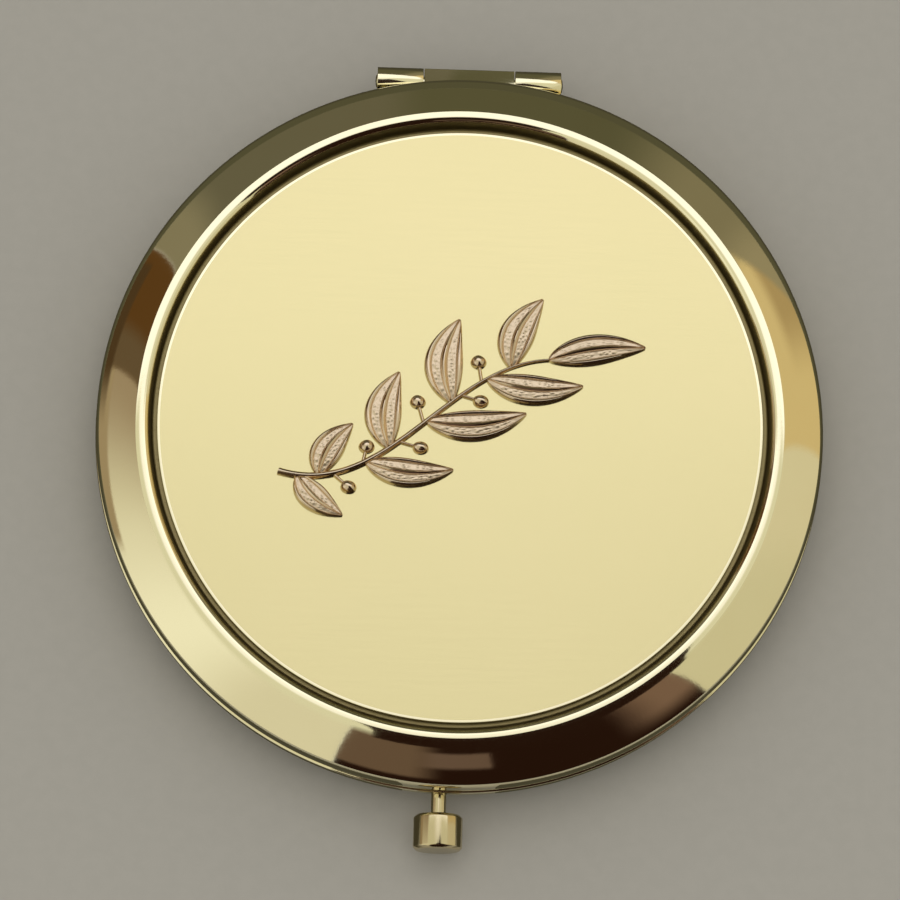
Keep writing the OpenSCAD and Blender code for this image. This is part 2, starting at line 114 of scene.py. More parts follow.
def colour(name, description, value):
    """A linear colour property."""
    return FloatVectorProperty(name=name, description=description, default=value, min=0.0, max=1.0,
                               size=3, subtype="COLOR")


class PressingSizes(bpy.types.PropertyGroup):
    """Sizes of the two pressed halves and the disc."""

    sheet_t: length("Sheet", "Thickness of the pressed sheet", 0.4)
    crest_flat_w: length("Crest flat", "Width of the flat on top of the crest", 0.2)
    crest_in_r: length("Inner crest bend", "Bend radius on the inner side of the crest", 0.6)
    crest_out_r: length("Outer crest bend", "Bend radius on the outer side of the crest", 1.2)
    edge_r: length("Edge bend", "Bend radius where the rim turns into the wall", 1.0)
    rim_top_angle: angle("Rim fall at crest", "Fall of the rim next to the crest", 24)
    rim_edge_angle: angle("Rim fall at wall", "Fall of the rim next to the wall", 41.5)
    recess_depth: length("Recess depth", "Depth of the recess below the crest", 1.6)
    recess_wall_angle: angle("Recess wall", "Slope of the recess wall from level", 76)
    floor_fillet_r: length("Recess fillet", "Radius between the recess wall and its floor", 0.3)
    disc_play: length("Disc play", "Play between the disc and the edge of the recess floor", 0.08)
    disc_round: length("Disc edge", "Radius round the top edge of the disc", 0.07)
    disc_trim: length("Disc trim", "How far the disc's edge stands inside its solid's", 0.18)
    disc_land: length("Disc land", "Width of the polished line inside the disc's edge", 0.2)
    free_edge_r: length("Free edge", "Rounding of the sheet's cut edge at the parting line", 0.1)
    bead_r: length("Bead", "Radius of the bead along the base's free edge", 0.22)
    bead_reach: length("Bead reach", "How far the bead stands out from the base's wall", 0.14)
    notch_h: length("Hinge gap", "Height of the gap for the knuckles above the parting plane", 1.55)
    notch_play: length("Hinge gap play", "Play beside the knuckles in that gap", 0.3)
    stem_fit: length("Stem fit", "Radial clearance of the stem in the wall", 0.06)
    turns: count("Facets", "Facets round a pressing", 320)


class SprigSizes(bpy.types.PropertyGroup):
    """Sizes of the relief sprig on the disc."""

    leaf_l: length("Leaf length", "Length of the longest leaf", 10.2)
    leaf_w: length("Leaf width", "Width of the longest leaf", 3.8)
    stalk_w: length("Stalk width", "Width of the stalk at its cut end", 0.9)
    berry_d: length("Berry", "Diameter of a berry", 1.6)
    pebble: length("Pebble", "Size of the hammered pebbles in a leaf's field", 0.42)
    pebble_h: length("Pebble height", "Height of the pebbles", 0.07)


class HingeSizes(bpy.types.PropertyGroup):
    """Sizes of the hinge."""

    hinge_w: length("Hinge width", "Width over the outer knuckles", 18)
    lid_knuckle_w: length("Lid knuckle", "Width of the lid's knuckle", 8.8)
    knuckle_gap: length("Knuckle gap", "Gap between neighbouring knuckles", 0.1)
    barrel_r: length("Knuckle radius", "Outer radius of the knuckles", 1.35)
    pin_r: length("Pin radius", "Radius of the pin", 0.5)
    pin_fit: length("Pin fit", "Radial clearance of the pin", 0.03)
    leaf_t: length("Leaf thickness", "Thickness of the leaves", 0.5)
    leaf_gap: length("Leaf gap", "Gap between a leaf and the wall", 0.05)
    edge_round: length("Edge", "Rounding of the leaves' edges", 0.05)


class MirrorSizes(bpy.types.PropertyGroup):
    """Sizes of the glasses and their rings."""

    dish_depth: length("Dish", "Depth of the hollow in the magnifying glass", 0.35)
    bevel: length("Bevel", "Bevel round the front of the flat glass", 0.16)
    ring_t: length("Ring", "Thickness of the rings", 0.4)
    ring_lip: length("Lip", "Reach of a ring's lip over its glass", 0.8)
    ring_fit: length("Ring fit", "Gap between a ring and its glass", 0.05)
    ring_gap: length("Ring gap", "Gap between a ring and the wall", 0.25)
    window_w: length("Latch window", "Width of the ring's window for the latch", 4.5)


class ButtonSizes(bpy.types.PropertyGroup):
    """Sizes of the push button and its spring."""

    knob_bevel: length("Knob bevel", "Bevel round the ends of the knob", 0.28)
    knob_round: length("Knob rounding", "Rounding of the knob's edges", 0.08)
    stem_seat: length("Seat", "Depth of the stem in the knob", 1.8)
    tail_r: length("Tail radius", "Radius of the stem's tail", 0.45)
    press_gap: length("Press gap", "Radial gap of a pressed joint", 0.01)
    wire_r: length("Spring wire", "Radius of the spring's wire", 0.125)
    coils: FloatProperty(name="Coils", description="Turns of the spring", default=4.5, min=1.0)


class Finishes(bpy.types.PropertyGroup):
    """Colours and roughness of the finishes."""

    gold: colour("Gold", "Bright light gold plating", (0.95, 0.89, 0.64))
    gold_deep: colour("Deep gold", "Deeper gold in worn plating", (0.82, 0.7, 0.42))
    # The groove colour is painted shade: it darkens the plating in the recess round the disc, where shade
    # falls
    groove: colour("Groove", "Darkened plating in the groove round the disc", (0.28, 0.23, 0.11))
    disc: colour("Disc", "Satin light gold of the disc", (0.725, 0.65, 0.36))
    rose: colour("Rose gold", "Plating of the sprig", (0.72, 0.59, 0.44))
    knob: colour("Knob", "Plating of the knob", (0.68, 0.59, 0.38))
    steel: colour("Steel", "Nickel-plated steel", (0.62, 0.6, 0.57))
    silver: colour("Silvering", "Silver behind the glasses", (0.93, 0.94, 0.94))
    glass_edge: colour("Glass edge", "Ground edge of the glasses", (0.32, 0.48, 0.42))
    foam: colour("Foam", "Double-sided foam", (0.03, 0.03, 0.032))
    film: colour("Film", "Adhesive film", (0.8, 0.79, 0.74))
    paint: colour("Backing paint", "Paint behind the glasses", (0.09, 0.1, 0.12))
    paint_light: colour("Light backing paint", "Its lighter grain", (0.12, 0.13, 0.15))
    gold_rough: roughness("Gold roughness", "Roughness of the bright plating", 0.05)
    hinge_rough: roughness("Hinge roughness", "Roughness of the hinge's plating", 0.09)
    ring_rough: roughness("Ring roughness", "Roughness of the rings' plating", 0.11)
    knob_rough: roughness("Knob roughness", "Roughness of the knob's plating", 0.12)
    # Roughness of that painted groove shade
    groove_shade_rough: roughness("Groove roughness", "Roughness of the darkened plating", 0.36)
    disc_rough: roughness("Disc roughness", "Roughness of the satin disc", 0.13)
    rose_rough: roughness("Rose roughness", "Roughness of the polished borders", 0.13)
    field_rough: roughness("Field roughness", "Roughness of the pebbled fields", 0.3)
    steel_rough: roughness("Steel roughness", "Roughness of the latch pieces", 0.26)
    wire_rough: roughness("Wire roughness", "Roughness of the spring", 0.18)


class StageSettings(bpy.types.PropertyGroup):
    """Camera, floor and light."""

    distance: length("Distance", "Distance of the camera from the aim", 500)
    elevation: angle("Elevation", "Camera height above the horizon", 77)
    swing: angle("Swing", "Camera swing towards -X", 0.8)
    roll: angle("Roll", "Turn of the camera, which turns the picture the other way", 5.25)
    lens: FloatProperty(name="Lens", description="Focal length", default=0.2081, unit="CAMERA")
    aim_x: length("Aim X", "Sideways offset of the aim from the body's centre", -0.9)
    aim_y: length("Aim Y", "Offset of the aim towards the button", -2.16)
    aim_z: length("Aim Z", "Height of the aim, at the lid's edge", 7.1)
    floor: colour("Floor", "Plain floor", (0.39, 0.37, 0.335))
    room: colour("Room", "Plain surround", (0.65, 0.645, 0.6))
    softbox: colour("Softbox", "Light of the overhead softbox", (1.0, 0.985, 0.96))
    softbox_level: FloatProperty(name="Softbox level", description="Radiance of the softbox", default=1.0,
                                 min=0.0)
    softbox_side: length("Softbox side", "Side of the softbox", 700)
    softbox_height: length("Softbox height", "Distance of the softbox from the object", 900)


GROUPS = {
    "pressing": PressingSizes, "sprig": SprigSizes, "hinge": HingeSizes, "mirrors": MirrorSizes,
    "button": ButtonSizes, "finish": Finishes, "stage": StageSettings,
}


def settings(name):
    """The scene's group of that name."""
    return getattr(bpy.context.scene, "compact_" + name)


# Outlines

# Steps along each bend of a pressing's outline
STEPS = {"cut_edge": 4, "bead": 10, "edge": 8, "rim": 22, "crest_out": 10, "crest_in": 12, "fillet": 8}


def polar(a):
    """The flat direction at an angle."""
    return Vector((math.cos(a), math.sin(a)))


def arc(centre, radius, start, end, steps):
    """Points along an arc, from one angle to another, in degrees."""
    turns = [math.radians(start + (end - start) * i / steps) for i in range(steps + 1)]
    return [centre + radius * polar(a) for a in turns]


def half_outline(sizes, inset, beaded=False):
    """The sheet's outside, or its inside at an inset, as distance and height above the parting plane."""
    slopes = (sizes.rim_top_angle, sizes.rim_edge_angle, sizes.recess_wall_angle)
    top, edge, wall = (math.degrees(slope) for slope in slopes)
    sin_top, sin_edge, sin_wall = (math.sin(slope) for slope in slopes)
    cos_top, cos_edge, cos_wall = (math.cos(slope) for slope in slopes)
    floor_h = HALF_H - sizes.recess_depth
    floor_r = DISC_HIGH.x + sizes.disc_play
    low_h = floor_h + sizes.floor_fillet_r * (1 - cos_wall)
    high_h = HALF_H - sizes.crest_in_r * (1 - cos_wall)
    wall_run = (high_h - low_h) * cos_wall / sin_wall
    crest_in_x = floor_r + (sizes.floor_fillet_r + sizes.crest_in_r) * sin_wall + wall_run
    crest_out_x = crest_in_x + sizes.crest_flat_w
    rim_run = BODY_R - crest_out_x - sizes.crest_out_r * sin_top - sizes.edge_r * (1 - sin_edge)
    rim_r = rim_run / (sin_edge - sin_top)
    floor_centre = Vector((floor_r, floor_h + sizes.floor_fillet_r))
    crest_in_centre = Vector((crest_in_x, HALF_H - sizes.crest_in_r))
    crest_out_centre = Vector((crest_out_x, HALF_H - sizes.crest_out_r))
    rim_centre = crest_out_centre - (rim_r - sizes.crest_out_r) * Vector((sin_top, cos_top))
    edge_centre = rim_centre + (rim_r - sizes.edge_r) * Vector((sin_edge, cos_edge))
    free_h = (LID_LOW.z - BASE_HIGH.z) / 2
    if inset:
        corner = Vector((BODY_R - inset + sizes.free_edge_r, free_h + sizes.free_edge_r))
        free_edge = arc(corner, sizes.free_edge_r, 180, 270, STEPS["cut_edge"])[::-1]
    else:
        corner_r, reach = (sizes.bead_r, sizes.bead_reach) if beaded else (sizes.free_edge_r, 0)
        corner = Vector((BODY_R + reach - corner_r, free_h + corner_r))
        end = 360 + math.degrees(math.acos(1 - reach / corner_r))
        free_edge = arc(corner, corner_r, 270, end, STEPS["bead"])
    return (
        free_edge
        + arc(edge_centre, sizes.edge_r - inset, 0, 90 - edge, STEPS["edge"])
        + arc(rim_centre, rim_r - inset, 90 - edge, 90 - top, STEPS["rim"])[1:]
        + arc(crest_out_centre, sizes.crest_out_r - inset, 90 - top, 90, STEPS["crest_out"])[1:]
        + arc(crest_in_centre, sizes.crest_in_r - inset, 90, 90 + wall, STEPS["crest_in"])
        + arc(floor_centre, sizes.floor_fillet_r + inset, wall - 90, -90, STEPS["fillet"])
        + [(floor_r - sizes.sheet_t, floor_h - inset), (0, floor_h - inset)]
    )


def rounded(corners, radius, steps=3):
    """A closed outline whose corners are rounded, each by no more than the radius."""
    points = []
    for before, corner, after in zip(corners[-1:] + corners[:-1], corners, corners[1:] + corners[:1]):
        corner = Vector(corner)
        back, ahead = Vector(before) - corner, Vector(after) - corner
        cut = min(radius, back.length / 2, ahead.length / 2)
        if corner.x < TINY or cut < TINY:
            points.append(corner)
            continue
        start, end = corner + cut * back.normalized(), corner + cut * ahead.normalized()
        for i in range(steps + 1):
            t = i / steps
            points.append((1 - t) ** 2 * start + 2 * t * (1 - t) * corner + t * t * end)
    return points


# Meshes

def bridge(mesh, lower, upper):
    """Faces between two loops of vertices, either of which may be a single point."""
    n = max(len(lower), len(upper))
    for i in range(n if n > 1 else 0):
        j = (i + 1) % n
        corners = [lower[i % len(lower)], lower[j % len(lower)], upper[j % len(upper)], upper[i % len(upper)]]
        kept = [v for k, v in enumerate(corners) if v not in corners[:k]]
        if len(kept) > 2:
            mesh.faces.new(kept)


def revolve(mesh, outline, turns):
    """Turns a closed outline of distance and height round Z."""
    rings = []
    for distance, height in outline:
        if distance < TINY:
            rings.append([mesh.verts.new((0, 0, height))])
            continue
        spots = [distance * polar(FULL_TURN * i / turns) for i in range(turns)]
        rings.append([mesh.verts.new((*spot, height)) for spot in spots])
    for lower, upper in zip(rings, rings[1:] + rings[:1]):
        bridge(mesh, lower, upper)


def skin(mesh, loops):
    """Closed skin over a row of loops with the same number of points."""
    rows = [[mesh.verts.new(p) for p in loop] for loop in loops]
    for lower, upper in zip(rows, rows[1:]):
        bridge(mesh, lower, upper)
    mesh.faces.new(rows[0][::-1])
    mesh.faces.new(rows[-1])


def block(mesh, low, high):
    """A box between two corners."""
    made = bmesh.ops.create_cube(mesh, size=1)
    low, high = Vector(low), Vector(high)
    move = Matrix.Translation((low + high) / 2) @ Matrix.Diagonal((*(high - low), 1))
    bmesh.ops.transform(mesh, matrix=move, verts=made["verts"])


def rod(mesh, radius, start, end, turns=64):
    """A straight rod between two points."""
    start, end = Vector(start), Vector(end)
    made = bmesh.ops.create_cone(mesh, cap_ends=True, segments=turns, radius1=radius, radius2=radius,
                                 depth=(end - start).length)
    turn = (end - start).to_track_quat("Z", "Y").to_matrix().to_4x4()
    bmesh.ops.transform(mesh, matrix=Matrix.Translation((start + end) / 2) @ turn, verts=made["verts"])


def curved_plate(mesh, inner_r, outer_r, half_w, low, high, steps=48):
    """A plate that follows the back wall, from -half_w to half_w along X."""
    reach = math.asin(half_w / outer_r)
    corners = ((inner_r, low), (outer_r, low), (outer_r, high), (inner_r, high))
    loops = []
    for i in range(steps + 1):
        way = polar(math.pi / 2 - reach + 2 * reach * i / steps)
        loops.append([(*(r * way), z) for r, z in corners])
    skin(mesh, loops)


def cross_loop(x, near, far, low, high):
    """The corners of a rectangle that stands across X."""
    return [(x, near, low), (x, far, low), (x, far, high), (x, near, high)]


def in_lid(mesh):
    """Moves a half drawn above the parting plane into the lid."""
    bmesh.ops.transform(mesh, matrix=Matrix.Translation((0, 0, PARTING_Z)), verts=mesh.verts)


def in_base(mesh):
    """Turns a half drawn above the parting plane over into the base."""
    turned = Matrix.Translation((0, 0, PARTING_Z)) @ Matrix.Diagonal((1, 1, -1, 1))
    bmesh.ops.transform(mesh, matrix=turned, verts=mesh.verts)


def smooth(data, sharp=SHARP):
    """Smooths a mesh but for edges sharper than an angle in degrees."""
    data.shade_smooth()
    data.set_sharp_from_angle(angle=math.radians(sharp))


def as_object(mesh, name, sharp=SHARP):
    """A smoothed object made of a bmesh."""
    bmesh.ops.recalc_face_normals(mesh, faces=mesh.faces)
    data = bpy.data.meshes.new(name)
    mesh.to_mesh(data)
    mesh.free()
    smooth(data, sharp)
    piece = bpy.data.objects.new(name, data)
    bpy.context.scene.collection.objects.link(piece)
    return piece


def apply_modifiers(piece):
    """Writes a piece's modifiers into its mesh."""
    bpy.context.view_layer.update()
    solved = bpy.data.meshes.new_from_object(piece.evaluated_get(bpy.context.evaluated_depsgraph_get()))
    piece.modifiers.clear()
    piece.data = solved
    smooth(solved)


def carve(piece, *cutters):
    """Cuts each cutter, a bmesh, out of a piece."""
    tools = [as_object(cutter, piece.name + "_cutter") for cutter in cutters]
    for tool in tools:
        cut = piece.modifiers.new("cut", "BOOLEAN")
        cut.operation = "DIFFERENCE"
        cut.solver = "EXACT"
        cut.object = tool
    apply_modifiers(piece)
    for tool in tools:
        bpy.data.objects.remove(tool)


def soften(piece, width, segments=2, sharp=40):
    """Rounds a piece's edges that are sharper than an angle in degrees."""
    edge = piece.modifiers.new("edges", "BEVEL")
    edge.width = width
    edge.segments = segments
    edge.limit_method = "ANGLE"
    edge.angle_limit = math.radians(sharp)
    edge.harden_normals = True


def place(piece, body, slot, looks, *nodes):
    """Gives a piece its finishes and its body, and hides the frame's nodes that it stands for; the slot is
    not used.
    """
    for look in looks:
        piece.data.materials.append(finish(look))
    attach(piece, body)
    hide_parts(*nodes)


def dress(look, *nodes):
    """Gives nodes of the frame that no piece stands for a finish."""
    for name in nodes:
        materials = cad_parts[name].data.materials
        materials.clear()
        materials.append(finish(look))


# Finishes

# Places of a colour mix's inputs and of its result among its sockets
MIX_FIRST, MIX_SECOND, MIX_RESULT = 6, 7, 2


def new_material(name):
    """A new material and its tree."""
    material = bpy.data.materials.new(name)
    material.use_nodes = True
    return material, material.node_tree


def feed(tree, made, inputs):
    """Sets or links a shader node's inputs."""
    for key, value in inputs.items():
        if isinstance(value, bpy.types.NodeSocket):
            tree.links.new(value, made.inputs[key])
        else:
            made.inputs[key].default_value = value


def node(tree, kind, inputs=None, **facts):
    """A new shader node with its facts and its inputs."""
    made = tree.nodes.new("ShaderNode" + kind)
    for key, value in facts.items():
        setattr(made, key, value)
    feed(tree, made, inputs or {})
    return made


def shader(name):
    """A new material, its tree, its surface shader and the coordinates of its piece."""
    material, tree = new_material(name)
    return material, tree, tree.nodes["Principled BSDF"], node(tree, "TexCoord").outputs["Object"]


def rgba(tint):
    """A colour with full cover."""
    return (*tint, 1)


def shade(tint, factor):
    """A colour made darker or lighter."""
    return [factor * c for c in tint]


def blotches(tree, coords, scale, detail=3, rough=0.55):
    """A noise field from 0 to 1 at a scale in blotches a metre."""
    made = node(tree, "TexNoise", {"Vector": coords, "Scale": scale, "Detail": detail, "Roughness": rough})
    return made.outputs["Fac"]


def span(tree, value, reach, result=(0.0, 1.0)):
    """A field stretched from one range to another, clamped."""
    (low, high), (to_low, to_high) = reach, result
    made = node(tree, "MapRange", {"Value": value, "From Min": low, "From Max": high, "To Min": to_low,
                                   "To Max": to_high}, interpolation_type="SMOOTHSTEP")
    return made.outputs["Result"]


def blend_colours(tree, factor, *ends):
    """Two colours, each plain or a field, mixed by a field."""
    first, second = (end if isinstance(end, bpy.types.NodeSocket) else rgba(end) for end in ends)
    mix = node(tree, "Mix", {"Factor": factor, MIX_FIRST: first, MIX_SECOND: second}, data_type="RGBA")
    return mix.outputs[MIX_RESULT]


def raised(tree, height, distance, base=None):
    """A bump of a height field over a distance in metres, on a base of another bump."""
    inputs = {"Height": height, "Distance": distance, "Strength": 1.0}
    if base is not None:
        inputs["Normal"] = base
    return node(tree, "Bump", inputs).outputs["Normal"]


def polish_lines(tree, coords, along, across, turn):
    """Faint scratches: a noise field stretched along one direction."""
    inputs = {"Vector": coords, "Rotation": (0, 0, turn), "Scale": (along, across, along)}
    turned = node(tree, "Mapping", inputs).outputs["Vector"]
    return blotches(tree, turned, scale=1, detail=4, rough=0.7)


def plated_metal(name, tint, deep, smoothest, waviness=8e-7):
    """Bright plating on pressed sheet: slight waves, a haze of wiping marks and deeper gold in blotches."""
    tone_scale, tone_reach, tone_result = 90, (0.42, 0.8), (0.0, 0.16)
    wipes, wipe_reach = ((260, 5200, 0.6), (340, 6400, -0.9)), (0.25, 0.5)
    roughest, wave_h = 1.5 * smoothest, 3 * waviness
    wave_scale, ripple_scale = 420, 2600
    material, tree, surface, coords = shader(name)
    tone = span(tree, blotches(tree, coords, tone_scale), tone_reach, tone_result)
    wiped, crossed = (polish_lines(tree, coords, *wipe) for wipe in wipes)
    marks = node(tree, "Math", {0: wiped, 1: crossed}, operation="MULTIPLY").outputs[0]
    waves = raised(tree, blotches(tree, coords, wave_scale, detail=2), wave_h)
    ripples = raised(tree, blotches(tree, coords, ripple_scale, detail=2), waviness, base=waves)
    feed(tree, surface, {
        "Base Color": blend_colours(tree, tone, tint, deep), "Metallic": 1.0,
        "Roughness": span(tree, marks, wipe_reach, (smoothest, roughest)), "Normal": ripples,
    })
    return material


def satin_metal(name, tint, deep, smoothest):
    """Satin plating: a fine even grain, faint wiping marks and a few small pits."""
    tone_scale, tone_reach, tone_result = 45, (0.35, 0.85), (0.0, 0.14)
    pit_scale, pit_reach, pit_shade, pit_h = 110, (0.01, 0.028), 0.85, 1e-6
    wipe, wipe_reach = (120, 2400, 0.35), (0.3, 0.8)
    grain_scale, grain_h = 7000, 1.6e-6
    roughest = 1.25 * smoothest
    material, tree, surface, coords = shader(name)
    tone = span(tree, blotches(tree, coords, tone_scale, detail=4), tone_reach, tone_result)
    pits = node(tree, "TexVoronoi", {"Vector": coords, "Scale": pit_scale}).outputs["Distance"]
    pitted = span(tree, pits, pit_reach)
    plain = blend_colours(tree, tone, tint, deep)
    wiped = polish_lines(tree, coords, *wipe)
    grain = raised(tree, blotches(tree, coords, grain_scale, detail=2), grain_h)
    feed(tree, surface, {
        "Base Color": blend_colours(tree, pitted, shade(tint, pit_shade), plain), "Metallic": 1.0,
        "Roughness": span(tree, wiped, wipe_reach, (smoothest, roughest)),
        "Normal": raised(tree, pitted, pit_h, base=grain),
    })
    return material


def steel_metal(name, tint, smoothest, direction=0.0):
    """Plain plated steel with drawn lines."""
    lines, line_reach = (500, 9000, direction), (0.3, 0.7)
    line_shade, line_h = 0.86, 1.5e-6
    roughest = 1.5 * smoothest
    material, tree, surface, coords = shader(name)
    drawn = polish_lines(tree, coords, *lines)
    tone = span(tree, drawn, line_reach)
    feed(tree, surface, {
        "Base Color": blend_colours(tree, tone, shade(tint, line_shade), tint), "Metallic": 1.0,
        "Roughness": span(tree, drawn, line_reach, (smoothest, roughest)),
        "Normal": raised(tree, drawn, line_h),
    })
    return material


def silvered(name, tint):
    """Silvered glass with a trace of wiping haze."""
    wipe, wipe_reach, wipe_result = (60, 900, 1.1), (0.55, 0.9), (0.0, 0.05)
    material, tree, surface, coords = shader(name)
    haze = span(tree, polish_lines(tree, coords, *wipe), wipe_reach, wipe_result)
    feed(tree, surface, {"Base Color": rgba(tint), "Metallic": 1.0, "Roughness": haze})
    return material


def matt(name, tint, light, rough, grain_scale, grain_h):
    """A matt finish with a fine grain: foam, film, backing paint, ground glass or floor paper."""
    grain_reach = (0.3, 0.7)
    material, tree, surface, coords = shader(name)
    grain = blotches(tree, coords, grain_scale)
    tone = span(tree, grain, grain_reach)
    feed(tree, surface, {
        "Base Color": blend_colours(tree, tone, tint, light), "Roughness": rough,
        "Normal": raised(tree, grain, grain_h),
    })
    return material


def finish(kind):
    """The named finish, made once."""
    if kind in bpy.data.materials:
        return bpy.data.materials[kind]
    look = settings("finish")
    groove_shade_deep, rose_deep = shade(look.groove, 0.7), shade(look.rose, 0.8)
    edge_light, foam_light = shade(look.glass_edge, 1.25), shade(look.foam, 2.2)
    film_light = shade(look.film, 1.1)
    hinge_waves, knob_waves, rose_waves, coil_direction = 1.6e-6, 1.8e-6, 3e-6, 1.2
    # Matt ones end with their roughness and with the scale and height of their grain
    recipes = {
        "bright_gold": (plated_metal, look.gold, look.gold_deep, look.gold_rough),
        # Painted shade: the plating in the groove is darkened where the recess lies in shade
        "groove_gold": (plated_metal, look.groove, groove_shade_deep, look.groove_shade_rough),
        "hinge_gold": (plated_metal, look.gold, look.gold_deep, look.hinge_rough, hinge_waves),
        "ring_gold": (plated_metal, look.gold, look.gold_deep, look.ring_rough),
        "knob_gold": (plated_metal, look.knob, look.gold_deep, look.knob_rough, knob_waves),
        "satin_gold": (satin_metal, look.disc, look.gold_deep, look.disc_rough),
        "rose_bright": (plated_metal, look.rose, rose_deep, look.rose_rough, rose_waves),
        "rose_field": (satin_metal, look.rose, rose_deep, look.field_rough),
        "latch_steel": (steel_metal, look.steel, look.steel_rough),
        "spring_wire": (steel_metal, look.steel, look.wire_rough, coil_direction),
        "silvering": (silvered, look.silver),
        "ground_glass": (matt, look.glass_edge, edge_light, 0.35, 4000, 2e-6),
        "backing_paint": (matt, look.paint, look.paint_light, 0.6, 2500, 3e-6),
        "foam": (matt, look.foam, foam_light, 0.9, 3200, 4e-5),
        "film": (matt, look.film, film_light, 0.5, 2600, 4e-6),
    }
    make, *facts = recipes[kind]
    return make(kind, *facts)


# Sprig, drawn flat on Z 0 and then fitted to its place

STALK_PATH_SHARES = [Vector(p) for p in ((-0.5, -0.36), (-0.2, -0.52), (-0.04, 0.26), (0.24, 0.3))]
# Each leaf: its place on the stalk, its side, its length, its angle to the stalk in degrees, its bend
LEAF_SHARES = [
    (0.06, -1, 0.64, 40, 0.09), (0.13, 1, 0.7, 56, 0.1), (0.3, -1, 0.84, 38, 0.1), (0.39, 1, 0.92, 44, 0.11),
    (0.54, -1, 0.96, 38, 0.1), (0.64, 1, 1, 42, 0.11), (0.78, -1, 0.92, 40, 0.1), (0.87, 1, 0.88, 44, 0.1),
    (1, 1, 0.94, 6, 0.06),
]
# Each berry: its place on the stalk, its side, its reach as a share of a leaf, its angle
BERRY_SHARES = [
    (0.18, -1, 0.22, 62), (0.29, 1, 0.2, 48), (0.43, -1, 0.22, 60), (0.53, 1, 0.26, 58), (0.68, -1, 0.2, 62),
    (0.76, 1, 0.24, 60),
]
# Section of a leaf: place across its half width, height as a share of the relief
LEAF_SECTION_SHARES = [(-1, 0.3), (-0.93, 0.74), (-0.82, 0.88), (-0.72, 0.82), (-0.6, 0.56), (-0.2, 0.6),
                       (-0.09, 0.84), (0, 0.93), (0.09, 0.84), (0.2, 0.6), (0.6, 0.56), (0.72, 0.82),
                       (0.82, 0.88), (0.93, 0.74), (1, 0.3)]
FIELD_SHARES = (0.16, 0.64)
STALK_TAPER_SHARE = 0.45
SPRIG_W = SPRIG_HIGH.x - SPRIG_LOW.x
SPRIG_L = SPRIG_HIGH.y - SPRIG_LOW.y
SPRIG_H = SPRIG_HIGH.z - SPRIG_LOW.z


def stalk_at(t):
    """The stalk's centre and heading at a place from its cut end, 0, to its tip, 1."""
    p = STALK_PATH_SHARES
    at = (1 - t) ** 3 * p[0] + 3 * t * (1 - t) ** 2 * p[1] + 3 * t * t * (1 - t) * p[2] + t ** 3 * p[3]
    slope = 3 * (1 - t) ** 2 * (p[1] - p[0]) + 6 * t * (1 - t) * (p[2] - p[1]) + 3 * t * t * (p[3] - p[2])
    return Vector((at.x * SPRIG_W, at.y * SPRIG_L)), math.atan2(slope.y * SPRIG_L, slope.x * SPRIG_W)


def section_height(s):
    """Height share of a leaf's section at a place across it, smooth between the named points."""
    for (s0, h0), (s1, h1) in zip(LEAF_SECTION_SHARES, LEAF_SECTION_SHARES[1:]):
        if s <= s1:
            t = (s - s0) / (s1 - s0)
            return h0 + (h1 - h0) * t * t * (3 - 2 * t)
    return LEAF_SECTION_SHARES[-1][1]


def leaf_spread(u):
    """Half width of a leaf along it, as a share of its widest."""
    tip_share, skew, fullness = 0.05, 0.86, 0.82
    return tip_share + (1 - tip_share) * math.sin(math.pi * u ** skew) ** fullness


def pebbles(x, y, size):
    """Hammered domes from 0 to 1, packed like pebbles."""
    level, slope, seam = 0.5, 1.4, 4
    near = noise.voronoi(Vector((x / size, y / size, level)))[0]
    return max(0.0, 1 - slope * near[0]) * min(1.0, seam * (near[1] - near[0]))


def pebble_rise(sizes, s, spread, flat):
    """What the pebbles add at a place in a leaf's field, less at the field's edges and the leaf's ends."""
    margin_share, end_slope, end_loss = 0.12, 3, 0.9
    field_fade = min(1, min(abs(s) - FIELD_SHARES[0], FIELD_SHARES[1] - abs(s)) / margin_share)
    end_fade = min(1, end_slope * spread - end_loss)
    return sizes.pebble_h * field_fade * end_fade * pebbles(*flat, sizes.pebble)


def add_leaf(mesh, sizes, place_share, side, grow, turn, bend):
    """One leaf: a lens with a raised border, pebbled fields and a raised midrib."""
    along, across, end_share = 84, 64, 0.5
    start, heading = stalk_at(place_share)
    heading += side * math.radians(turn)
    size, half_w = sizes.leaf_l * grow, sizes.leaf_w * math.sqrt(grow) / 2
    width_shares = [-1 + 2 * i / across for i in range(across + 1)]
    loops = []
    for k in range(along + 1):
        u = k / along
        spread = leaf_spread(u)
        lean = math.atan(side * bend * math.pi * math.cos(math.pi * u))
        middle = Vector((size * u, side * bend * size * math.sin(math.pi * u)))
        rise = SPRIG_H * (end_share + (1 - end_share) * spread)
        section = [(-1, 0.0)] + [(s, section_height(s) * rise) for s in width_shares] + [(1, 0.0)]
        points = []
        for s, height in section:
            flat = middle + s * half_w * spread * Vector((-math.sin(lean), math.cos(lean)))
            if height and FIELD_SHARES[0] < abs(s) < FIELD_SHARES[1]:
                height += pebble_rise(sizes, s, spread, flat)
            points.append((*(start + Matrix.Rotation(heading, 2) @ flat), height))
        loops.append(points)
    first_face = len(mesh.faces)
    skin(mesh, loops)
    mesh.faces.ensure_lookup_table()
    for k in range(along):
        for i in range(across):
            s = abs(-1 + (2 * i + 1) / across)
            if FIELD_SHARES[0] < s < FIELD_SHARES[1]:
                mesh.faces[first_face + k * len(loops[0]) + i + 1].material_index = 1


